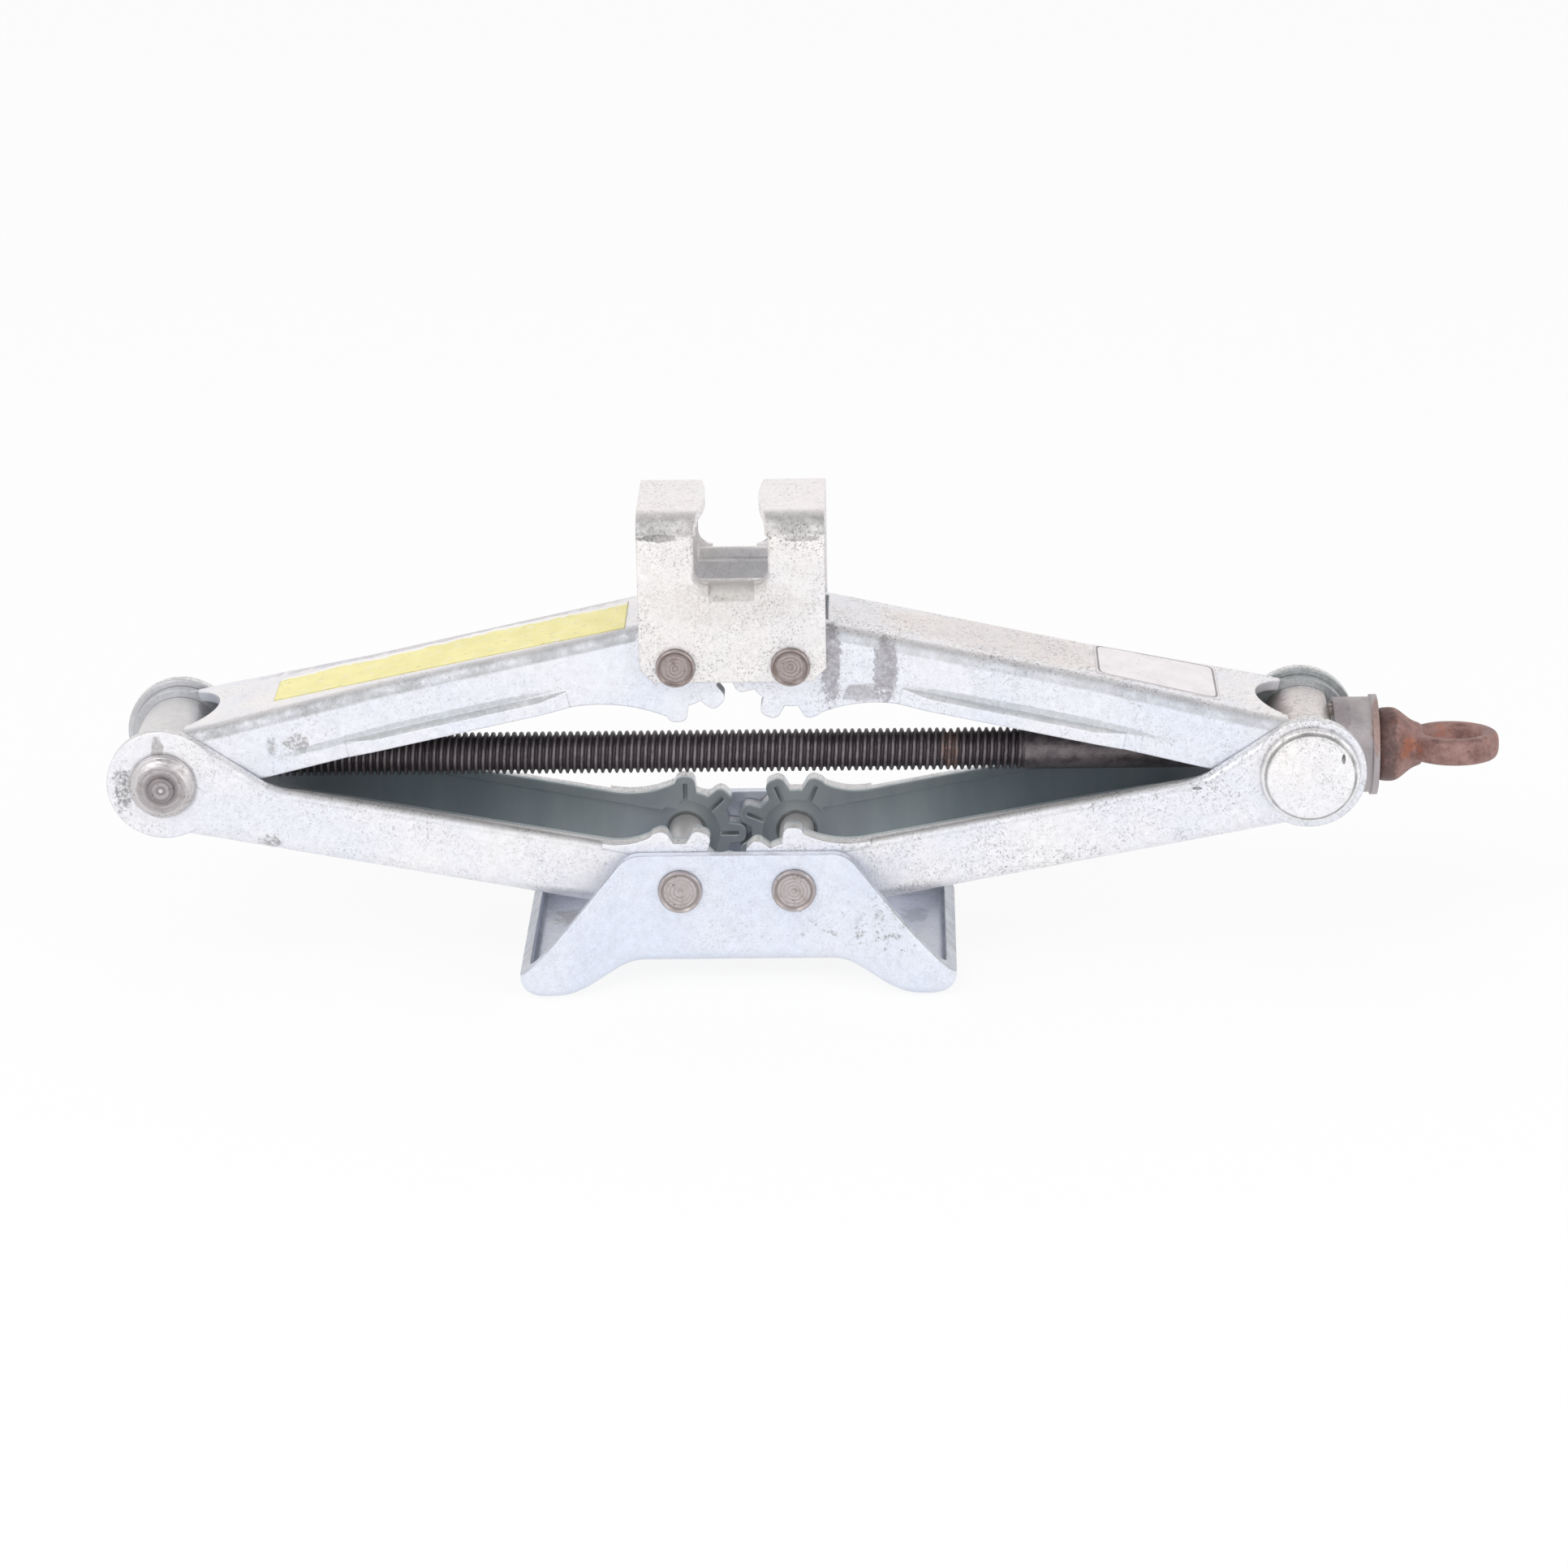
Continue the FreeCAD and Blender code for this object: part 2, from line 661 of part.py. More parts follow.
def make_base_blank(label, inset, bottom_round):
    """The pressed foot as a solid: a waisted plan trimmed to the ears' outline.

    The blank shrunk by one sheet is the space inside the foot.
    """
    body = new_body(label)
    half_depth = size("base_half_depth") - inset
    waist = ear_outer - inset
    half_length = size("base_half_length") - inset
    flare_end = size("base_half_length") - size("base_end_land")
    flare_start = flare_end - size("base_flare_run")
    near_edge = [(-half_length, half_depth), (-flare_end, half_depth), (-flare_start, waist),
                 (flare_start, waist), (flare_end, half_depth), (half_length, half_depth)]
    plan = near_edge + [(x, -y) for x, y in near_edge[::-1]]
    blank = polygon_sketch(body, "plan_outline", "XY_Plane", plan)
    pad(body, blank, "blank", base_pivot_z + BEYOND)

    def is_corner(edge):
        return is_straight(edge, "z") and is_close(abs(middle_of(edge).x), half_length)

    def is_flare(edge):
        place_x = abs(middle_of(edge).x)
        return is_straight(edge, "z") and (is_close(place_x, flare_start) or is_close(place_x, flare_end))

    fillet(body, "corners", size("base_end_land") * 0.55 - inset, is_corner)
    fillet(body, "flares", size("base_flare_run") * 0.8, is_flare)

    top = base_pivot_z + size("ear_top")
    rise = size("base_rise") + inset
    rise_start = size("base_half_length") - size("base_foot_length")
    rise_end = rise_start - size("base_rise_run")
    right_edge = [(rise_end, rise), (rise_start, inset), (half_length, inset)]
    is_space = inset.value > 0
    if is_space:
        right_edge.append((half_length, top + BEYOND / 2))
    else:
        right_edge += [(half_length, size("curb_height")), (pivot_half + size("ear_margin"), top)]
    outline = right_edge + [(-x, z) for x, z in right_edge[::-1]]
    trim = new_sketch(body, "trim_outline", "XZ_Plane")
    far = BEYOND * 2
    add_polygon(trim, [(-far, -far), (far, -far), (far, far), (-far, far)])
    add_polygon(trim, outline)
    pocket(body, trim, "trim", far, True)
    if not is_space:
        fillet(body, "ear_corners", size("ear_round"),
               lambda edge: is_straight(edge, "y") and is_close(middle_of(edge).z, top))

    def is_floor_fold(edge):
        here = middle_of(edge)
        folded = is_close(abs(here.x), rise_end) or is_close(abs(here.x), rise_start)
        return is_straight(edge, "y") and folded

    fillet(body, "floor_folds", size("base_fold_round"), is_floor_fold)

    def is_floor_edge(edge):
        here = middle_of(edge)
        at_end = abs(here.x) > half_length.value - NEAR
        on_side = abs(here.y) > waist.value - NEAR
        if is_straight(edge, "z") or not (on_side or at_end):
            return False
        on_curb = is_close(here.z, size("curb_height")) and not is_space
        return here.z < rise.value + NEAR and not on_curb

    fillet(body, "floor_round", bottom_round, is_floor_edge)
    return body


def make_base_plate(label):
    """The foot: one sheet pressed into a tray with tall ears, bored for its two pins."""
    outer = make_base_blank(label + "_blank", Size.of(0), size("base_bend_radius"))
    for side in (LEFT, RIGHT):
        hole = circle_sketch(outer, "pin_hole_outline_%d" % (side + 1), "XZ_Plane",
                             (pivot_half * side, base_pivot_z), size("base_pin_radius"))
        pocket(outer, hole, "pin_hole_%d" % (side + 1), BEYOND, True)
    inner = make_base_blank(label + "_space", sheet_thick, size("base_bend_radius") - sheet_thick * 0.8)
    cut = doc.addObject("Part::Cut", label)
    cut.Base = outer
    cut.Tool = inner
    bind(cut, "Placement.Base.x", foot_x)
    doc.recompute()
    return cut


def make_notch_lip(label, sign):
    """The floor of the saddle's notch on one side: the plate bent inwards to a short flange."""
    body = new_body(label)
    seat = size("notch_seat")
    lip = size("notch_lip")
    outer = saddle_outer * sign
    inner = (saddle_outer - lip) * sign
    under = (saddle_outer - sheet_thick) * sign
    block = [(outer, seat - lip), (outer, seat), (inner, seat), (inner, seat - lip)]
    pad(body, polygon_sketch(body, "block_outline", "YZ_Plane", block), "block", size("notch_half") * 2, True)
    below = [(inner - sign, seat - lip * 2), (under, seat - lip * 2), (under, seat - sheet_thick),
             (inner - sign, seat - sheet_thick)]
    pocket(body, polygon_sketch(body, "below_outline", "YZ_Plane", below), "below", BEYOND, True)
    fillet(body, "outer_bend", size("notch_lip_radius"),
           lambda edge: is_straight(edge, "x") and is_close(middle_of(edge).z, seat)
           and is_close(middle_of(edge).y, outer))
    fillet(body, "inner_bend", size("notch_lip_radius") - sheet_thick,
           lambda edge: is_straight(edge, "x") and is_close(middle_of(edge).z, seat - sheet_thick)
           and is_close(middle_of(edge).y, under))
    return body


def make_saddle(label):
    """The load head: an inverted channel with a slot across its top for a sill's seam.

    Its origin is midway between its two pivots.
    """
    body = new_body(label + "_channel")
    half = size("saddle_half_length")
    top = size("saddle_top")
    drop = size("saddle_drop")
    corner = size("saddle_chamfer")
    outline = [(-half, top), (-half, corner - drop), (corner - half, -drop),
               (half - corner, -drop), (half, corner - drop), (half, top)]
    pad(body, polygon_sketch(body, "front_outline", "XZ_Plane", outline), "blank", saddle_outer * 2, True)
    fillet(body, "top_bends", size("saddle_bend_radius"),
           lambda edge: is_straight(edge, "x") and is_close(middle_of(edge).z, top))
    room = [(-BEYOND, saddle_inner), (BEYOND, saddle_inner), (BEYOND, -saddle_inner), (-BEYOND, -saddle_inner)]
    pocket(body, polygon_sketch(body, "room_outline", "XY_Plane", room, top - sheet_thick), "room")
    fillet(body, "inside_bends", size("saddle_bend_radius") - sheet_thick,
           lambda edge: is_straight(edge, "x") and is_close(middle_of(edge).z, top - sheet_thick))

    notch = size("notch_half")
    floor = size("notch_seat") - size("notch_lip_radius")
    bend_start = top - size("saddle_bend_radius")
    seat = size("notch_seat")
    corner = size("notch_corner")
    left = [(-notch, bend_start), (-notch, seat + corner), (corner - notch, seat), (corner - notch, floor)]
    slot = left + [(-x, z) for x, z in left[::-1]]
    sketch = polygon_sketch(body, "notch_outline", "XZ_Plane", slot, arcs={1: corner, 5: corner})
    pocket(body, sketch, "notch", BEYOND, True)
    bulge = notch - size("pad_gap_half")
    bow = (saddle_outer * saddle_outer + bulge * bulge) / (bulge * 2)
    past = saddle_outer * 2
    right = [(notch, -past), (notch, -saddle_outer), (notch, saddle_outer), (notch, past)]
    gap = right + [(-x, -y) for x, y in right]
    sketch = polygon_sketch(body, "pad_gap_outline", "XY_Plane", gap, bend_start, {1: -bow, 5: -bow})
    pocket(body, sketch, "pad_gap", reverse=True)
    fillet(body, "notch_edges", size("notch_edge_round"),
           lambda edge: is_straight(edge, "z") and is_close(abs(middle_of(edge).x), notch)
           and is_close(abs(middle_of(edge).y), saddle_outer))
    for side in (LEFT, RIGHT):
        hole = circle_sketch(body, "pin_hole_outline_%d" % (side + 1), "XZ_Plane",
                             (pivot_half * side, Size.of(0)), size("saddle_pin_radius"))
        pocket(body, hole, "pin_hole_%d" % (side + 1), BEYOND, True)
    saddle = doc.addObject("Part::MultiFuse", label)
    saddle.Shapes = [body, make_notch_lip(label + "_lip_front", -1), make_notch_lip(label + "_lip_back", 1)]
    saddle.Refine = True
    bind(saddle, "Placement.Base.x", foot_x)
    bind(saddle, "Placement.Base.z", saddle_pivot_z)
    doc.recompute()
    return saddle


def make_pin(label, side, radius, head_radius, seat, height):
    """A rivet pin with a low turned head on each end."""
    body = new_body(label)
    end = seat + size("head_proud")
    edge = size("head_chamfer")
    front = [(end, Size.of(0)), (end, head_radius - edge), (end - edge, head_radius),
             (seat, head_radius), (seat, radius)]
    profile = front + [(-y, z) for y, z in front[::-1]]
    revolve(body, "pin", "YZ_Plane", profile)
    place(body, (foot_x + pivot_half * side, Size.of(0), height))
    return body


def bore_for_screw(body):
    hole = circle_sketch(body, "screw_bore_outline", "YZ_Plane", (Size.of(0), Size.of(0)),
                         size("screw_radius") + size("pin_clearance"))
    pocket(body, hole, "screw_bore", BEYOND, True)


def make_nut_trunnion(label):
    """The nut: a cross bar with turned stubs, spun over outside the arms into domed bosses."""
    body = new_body(label)
    shoulder = upper_wide_inner - plate_gap / 2
    seat = lower_half + plate_gap / 2
    boss = size("boss_radius")
    button = size("boss_button_radius")
    proud = size("boss_proud")
    front = [(seat + proud, Size.of(0)), (seat + proud, button), (seat + proud * 0.8, button),
             (seat + proud * 0.8, boss * 0.62), (seat + proud * 0.35, boss), (seat, boss),
             (seat, size("stub_radius")), (shoulder, size("stub_radius")), (shoulder, size("trunnion_radius"))]
    revolve(body, "bar", "YZ_Plane", front + [(-y, z) for y, z in front[::-1]])
    bore_for_screw(body)
    place(body, (left_x, Size.of(0), side_pivot_z))
    return body


def make_thrust_trunnion(label):
    """The plain cross bar that the screw pulls against, flat where its bearing sits."""
    body = new_body(label)
    shoulder = upper_wide_inner - plate_gap / 2
    socket = shoulder - size("plug_depth")
    plug = size("stub_radius")
    front = [(socket, Size.of(0)), (socket, plug), (shoulder, plug), (shoulder, size("trunnion_radius"))]
    revolve(body, "bar", "YZ_Plane", front + [(-y, z) for y, z in front[::-1]])
    bore_for_screw(body)
    flat = size("trunnion_flat")
    seat = [(flat, -BEYOND), (flat + BEYOND, -BEYOND), (flat + BEYOND, BEYOND), (flat, BEYOND)]
    pocket(body, polygon_sketch(body, "seat_outline", "XZ_Plane", seat), "seat", BEYOND, True)
    place(body, (right_x, Size.of(0), side_pivot_z))
    return body


def make_flat_pin(label, sign):
    """A shouldered pin with a broad flat head, pressed into one end of the thrust trunnion."""
    body = new_body(label)
    shoulder = upper_wide_inner - plate_gap / 2
    inner_end = shoulder - size("plug_depth")
    seat = lower_half + plate_gap / 2
    face = seat + size("flat_head_thick")
    head = size("flat_head_radius")
    edge = size("flat_head_chamfer")
    half = [(inner_end, Size.of(0)), (inner_end, size("stub_radius")), (seat, size("stub_radius")), (seat, head),
            (face - edge, head), (face, head - edge), (face, Size.of(0))]
    revolve(body, "pin", "YZ_Plane", [(y * sign, z) for y, z in half])
    place(body, (right_x, Size.of(0), side_pivot_z))
    return body


bearing_start = size("trunnion_flat")
ball_gap = (size("ball_radius") + size("ball_play")) * 2
bearing_end = bearing_start + size("race_thick") * 2 + ball_gap
flange_face = bearing_end + size("collar_end_wall")


def make_screw(label):
    """The lead screw, plain here, from its staked tail to the shank in the eye's socket."""
    body = new_body(label)
    tail = -(side_pivot_x * 2 + size("screw_tail"))
    end = flange_face + size("shank_socket")
    radius = size("screw_radius")
    edge = size("screw_chamfer")
    revolve(body, "rod", "XZ_Plane", [(tail, Size.of(0)), (tail, radius - edge), (tail + edge, radius),
                                      (end, radius), (end, Size.of(0))])
    place(body, (right_x, Size.of(0), side_pivot_z))
    return body


def make_ring(label, start, finish, bore, outside):
    body = new_body(label)
    revolve(body, "ring", "XZ_Plane", [(start, bore), (start, outside), (finish, outside), (finish, bore)])
    place(body, (right_x, Size.of(0), side_pivot_z))
    return body


def make_cage(label):
    """The ring that keeps the bearing's balls apart."""
    middle = bearing_start + size("race_thick") + ball_gap / 2
    half = size("cage_thick") / 2
    body = make_ring(label, middle - half, middle + half, size("race_bore_radius") + size("ball_play") * 4,
                     size("race_radius"))
    count = int(size("ball_count").value)
    window = size("ball_radius") + size("ball_play") * 2
    for number in range(count):
        angle = Size.of(360.0 * number / count)
        centre = (size("ball_circle_radius") * cosine(angle), size("ball_circle_radius") * sine(angle))
        sketch = circle_sketch(body, "window_outline_%d" % number, "YZ_Plane", centre, window)
        pocket(body, sketch, "window_%d" % number, BEYOND, True)
    return body


def make_balls(label):
    """The bearing's balls, as one group of separate spheres."""
    middle = bearing_start + size("race_thick") + ball_gap / 2
    count = int(size("ball_count").value)
    balls = []
    for number in range(count):
        angle = Size.of(360.0 * number / count)
        ball = doc.addObject("Part::Sphere", "%s_%d" % (label, number))
        bind(ball, "Radius", size("ball_radius"))
        place(ball, (middle, size("ball_circle_radius") * cosine(angle), size("ball_circle_radius") * sine(angle)))
        balls.append(ball)
    group = doc.addObject("Part::Compound", label)
    group.Links = balls
    place(group, (right_x, Size.of(0), side_pivot_z))
    doc.recompute()
    return group


def make_collar(label):
    """The cup that covers the thrust bearing and turns with the screw, with a rim at its closed end."""
    body = new_body(label)
    start = bearing_start + size("collar_gap")
    outside = size("collar_radius")
    inside = outside - size("collar_wall")
    bore = size("screw_radius") + size("pin_clearance") / 2
    rim_start = flange_face - size("collar_rim_thick")
    rim = size("collar_rim_radius")
    revolve(body, "cup", "XZ_Plane", [(start, inside), (start, outside), (rim_start, outside), (rim_start, rim),
                                      (flange_face, rim), (flange_face, bore), (bearing_end, bore),
                                      (bearing_end, inside)])
    place(body, (right_x, Size.of(0), side_pivot_z))
    return body


def make_eye(label):
    """The forged drive eye: a flange and neck turned round, and a flattened ring with its hole."""
    body = new_body(label)
    flange_end = flange_face + size("flange_length")
    neck_end = flange_end + size("neck_taper")
    ring_place = size("eye_ring_place")
    socket = size("screw_radius") + size("pin_clearance") / 2
    socket_end = flange_face + size("shank_socket")
    ring = circle_sketch(body, "ring_outline", "XY_Plane", (ring_place, Size.of(0)), size("eye_ring_radius"))
    pad(body, ring, "ring", size("eye_thick"), True)
    fillet(body, "ring_round", size("eye_round"), lambda edge: edge.Curve.TypeId == "Part::GeomCircle")
    flange = size("flange_radius")
    waist = (flange_end + size("neck_waist"), size("neck_waist_radius"))
    profile = [(flange_face, socket), (flange_face, flange), (flange_end, flange), waist,
               (neck_end, size("neck_tip_radius")), (neck_end, Size.of(0)), (socket_end, Size.of(0)),
               (socket_end, socket)]
    revolve(body, "neck", "XZ_Plane", profile)

    def is_flange_rim(edge):
        round_edge = edge.Curve.TypeId == "Part::GeomCircle"
        return round_edge and is_close(middle_of(edge).x, flange_end)

    fillet(body, "flange_rounding", size("flange_round"), is_flange_rim)
    hole = circle_sketch(body, "hole_outline", "XY_Plane", (size("eye_hole_place"), Size.of(0)),
                         size("eye_hole_radius"))
    pocket(body, hole, "hole", BEYOND, True)
    place(body, (right_x, Size.of(0), side_pivot_z), (1, 0, 0), -size("eye_turn"))
    return body


lower_arm = make_lower_arm("lower_arm_left")
upper_arm = make_upper_arm("upper_arm_left")
nodes = [
    make_base_plate("base_plate"),
    make_pin("base_pin_left", LEFT, size("base_pin_radius"), size("base_head_radius"), ear_outer, base_pivot_z),
    make_pin("base_pin_right", RIGHT, size("base_pin_radius"), size("base_head_radius"), ear_outer, base_pivot_z),
    lower_arm,
    make_right_arm("lower_arm_right", lower_arm),
    upper_arm,
    make_right_arm("upper_arm_right", upper_arm),
    make_saddle("saddle"),
    make_pin("saddle_pin_left", LEFT, size("saddle_pin_radius"), size("saddle_head_radius"), saddle_outer,
             saddle_pivot_z),
    make_pin("saddle_pin_right", RIGHT, size("saddle_pin_radius"), size("saddle_head_radius"), saddle_outer,
             saddle_pivot_z),
    make_nut_trunnion("nut_trunnion"),
    make_thrust_trunnion("thrust_trunnion"),
    make_flat_pin("trunnion_pin_front", -1),
    make_flat_pin("trunnion_pin_back", 1),
    make_screw("lead_screw"),
    make_eye("drive_eye"),
    make_collar("thrust_collar"),
    make_ring("fixed_race", bearing_start, bearing_start + size("race_thick"), size("race_bore_radius"),
              size("race_radius")),
    make_ring("turning_race", bearing_end - size("race_thick"), bearing_end, size("race_bore_radius"),
              size("race_radius")),
    make_cage("ball_cage"),
    make_balls("bearing_balls"),
]
doc.recompute()

for item in doc.Objects:
    if "Invalid" in item.State or "Error" in item.State:
        raise RuntimeError("%s failed: %s" % (item.Label, item.State))
for node in nodes:
    if node.Shape.isNull() or not node.Shape.isValid():
        raise RuntimeError("%s has no valid shape" % node.Label)

os.makedirs("parts", exist_ok=True)
for node in nodes:
    node.Shape.exportStep("parts/%s.step" % node.Label)
    box = node.Shape.BoundBox
    print("%-20s solids %d volume %8.0f  x %.1f..%.1f y %.1f..%.1f z %.1f..%.1f" % (
        node.Label, len(node.Shape.Solids), node.Shape.Volume, box.XMin, box.XMax, box.YMin, box.YMax,
        box.ZMin, box.ZMax))
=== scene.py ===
import math
import bpy
import numpy as np
from mathutils import Matrix, Vector


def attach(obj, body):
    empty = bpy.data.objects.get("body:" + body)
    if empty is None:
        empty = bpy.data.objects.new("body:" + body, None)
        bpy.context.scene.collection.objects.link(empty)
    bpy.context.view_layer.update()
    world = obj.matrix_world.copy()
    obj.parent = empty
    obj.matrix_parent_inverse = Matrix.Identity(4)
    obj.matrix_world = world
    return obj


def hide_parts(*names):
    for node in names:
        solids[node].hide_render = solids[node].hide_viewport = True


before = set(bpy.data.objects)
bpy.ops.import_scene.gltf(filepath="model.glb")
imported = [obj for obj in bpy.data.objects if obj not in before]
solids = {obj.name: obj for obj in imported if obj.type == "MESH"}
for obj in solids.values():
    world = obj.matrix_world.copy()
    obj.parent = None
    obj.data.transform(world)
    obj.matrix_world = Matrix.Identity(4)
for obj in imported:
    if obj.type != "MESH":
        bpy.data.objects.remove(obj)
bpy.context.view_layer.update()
scene = bpy.context.scene
scene.view_settings.view_transform = "Standard"

# The pressed foot stands on the ground on its two bent ends.
# Steel sheet, folded and drawn in one die, then barrel plated with bright zinc.

MM = 0.001
LEFT_X, RIGHT_X, BASE_Z, FOOT_X = -35.6, -3.6, 28.5, -19.6
EDGE_ROUND = 0.7 * MM
COOL_ZINC, WARM_ZINC = (0.79, 0.835, 0.95), (0.985, 0.955, 0.95)
# The two dull inside colours also paint shade.
DEEP_DULL_AND_SHADE = (0.26, 0.315, 0.355), (0.43, 0.47, 0.49)
SHALLOW_DULL_AND_SHADE = (0.44, 0.49, 0.52), (0.64, 0.68, 0.69)
# The dust colour also paints light on faces that look up; the bend colour paints shade.
DUST_AND_TOP_LIGHT, BEND_SHADE = (0.985, 0.94, 0.93), (0.33, 0.335, 0.335)
WORN_LIP, SPECK = (0.77, 0.755, 0.745), (0.18, 0.17, 0.172)
GRIME, SMUDGE = (0.25, 0.26, 0.25), (0.26, 0.25, 0.24)


def node(tree, kind, inputs=None, **settings):
    """One shader node: settings are its own properties, and each input is linked to a socket or set to a value."""
    made = tree.nodes.new("ShaderNode" + kind)
    for name, value in settings.items():
        setattr(made, name, value)
    for name, value in (inputs or {}).items():
        if isinstance(value, bpy.types.NodeSocket):
            tree.links.new(value, made.inputs[name])
        else:
            made.inputs[name].default_value = value
    return made


def sums(tree, operation, first, second=0.0, clamp=False):
    """The value of one Math node."""
    return node(tree, "Math", {0: first, 1: second}, operation=operation, use_clamp=clamp).outputs[0]


def times(tree, first, second, clamp=False):
    """Two values multiplied."""
    return sums(tree, "MULTIPLY", first, second, clamp)


def vector(tree, operation, first, second):
    """The vector from one Vector Math node."""
    return node(tree, "VectorMath", {0: first, 1: second}, operation=operation).outputs[0]


def length(tree, value):
    """The length of a vector."""
    return node(tree, "VectorMath", {0: value}, operation="LENGTH").outputs["Value"]


def step(tree, value, low, high, start=0.0, end=1.0):
    """A smooth step from start at low to end at high."""
    sockets = {"Value": value, "From Min": low, "From Max": high, "To Min": start, "To Max": end}
    return node(tree, "MapRange", sockets, interpolation_type="SMOOTHSTEP").outputs[0]


def blend(tree, amount, first, second, mode="MIX"):
    """The colour between two colours, or the two multiplied, by an amount."""
    made = node(tree, "Mix", {0: amount}, data_type="RGBA", blend_type=mode)
    for socket, value in ((made.inputs[6], first), (made.inputs[7], second)):
        if isinstance(value, bpy.types.NodeSocket):
            tree.links.new(value, socket)
        else:
            socket.default_value = (*value, 1.0)
    return made.outputs[2]


def own_place(tree):
    """The place on the piece, in its own coordinates."""
    return node(tree, "TexCoord").outputs["Object"]


def cloud(tree, place, scale, detail=3.0, roughness=0.6):
    """Soft random patches, scale of them to the metre."""
    sockets = {"Vector": place, "Scale": scale, "Detail": detail, "Roughness": roughness}
    return node(tree, "TexNoise", sockets).outputs["Fac"]


def stretched(tree, place, scale):
    """The place with each axis scaled, so that patches become streaks."""
    return node(tree, "Mapping", {"Vector": place, "Scale": scale}).outputs[0]


def dots(tree, place, scale, largest):
    """Round specks, one in a cell at most: the wall of a speck is at a random radius up to largest."""
    cells = node(tree, "TexVoronoi", {"Vector": place, "Scale": scale}).outputs
    pick = node(tree, "SeparateColor", {0: cells["Color"]}).outputs[0]
    radius = times(tree, sums(tree, "POWER", pick, 4.0), largest)
    return times(tree, sums(tree, "SUBTRACT", radius, cells["Distance"]), 9.0, clamp=True)


def new_group(label, inputs, outputs):
    """An empty shader group with number inputs, and outputs named with their kind."""
    tree = bpy.data.node_groups.new(label, "ShaderNodeTree")
    for name, value in inputs.items():
        tree.interface.new_socket(name, in_out="INPUT", socket_type="NodeSocketFloat").default_value = value
    for name, kind in outputs.items():
        tree.interface.new_socket(name, in_out="OUTPUT", socket_type="NodeSocket" + kind)
    return tree, tree.nodes.new("NodeGroupInput").outputs, tree.nodes.new("NodeGroupOutput").inputs


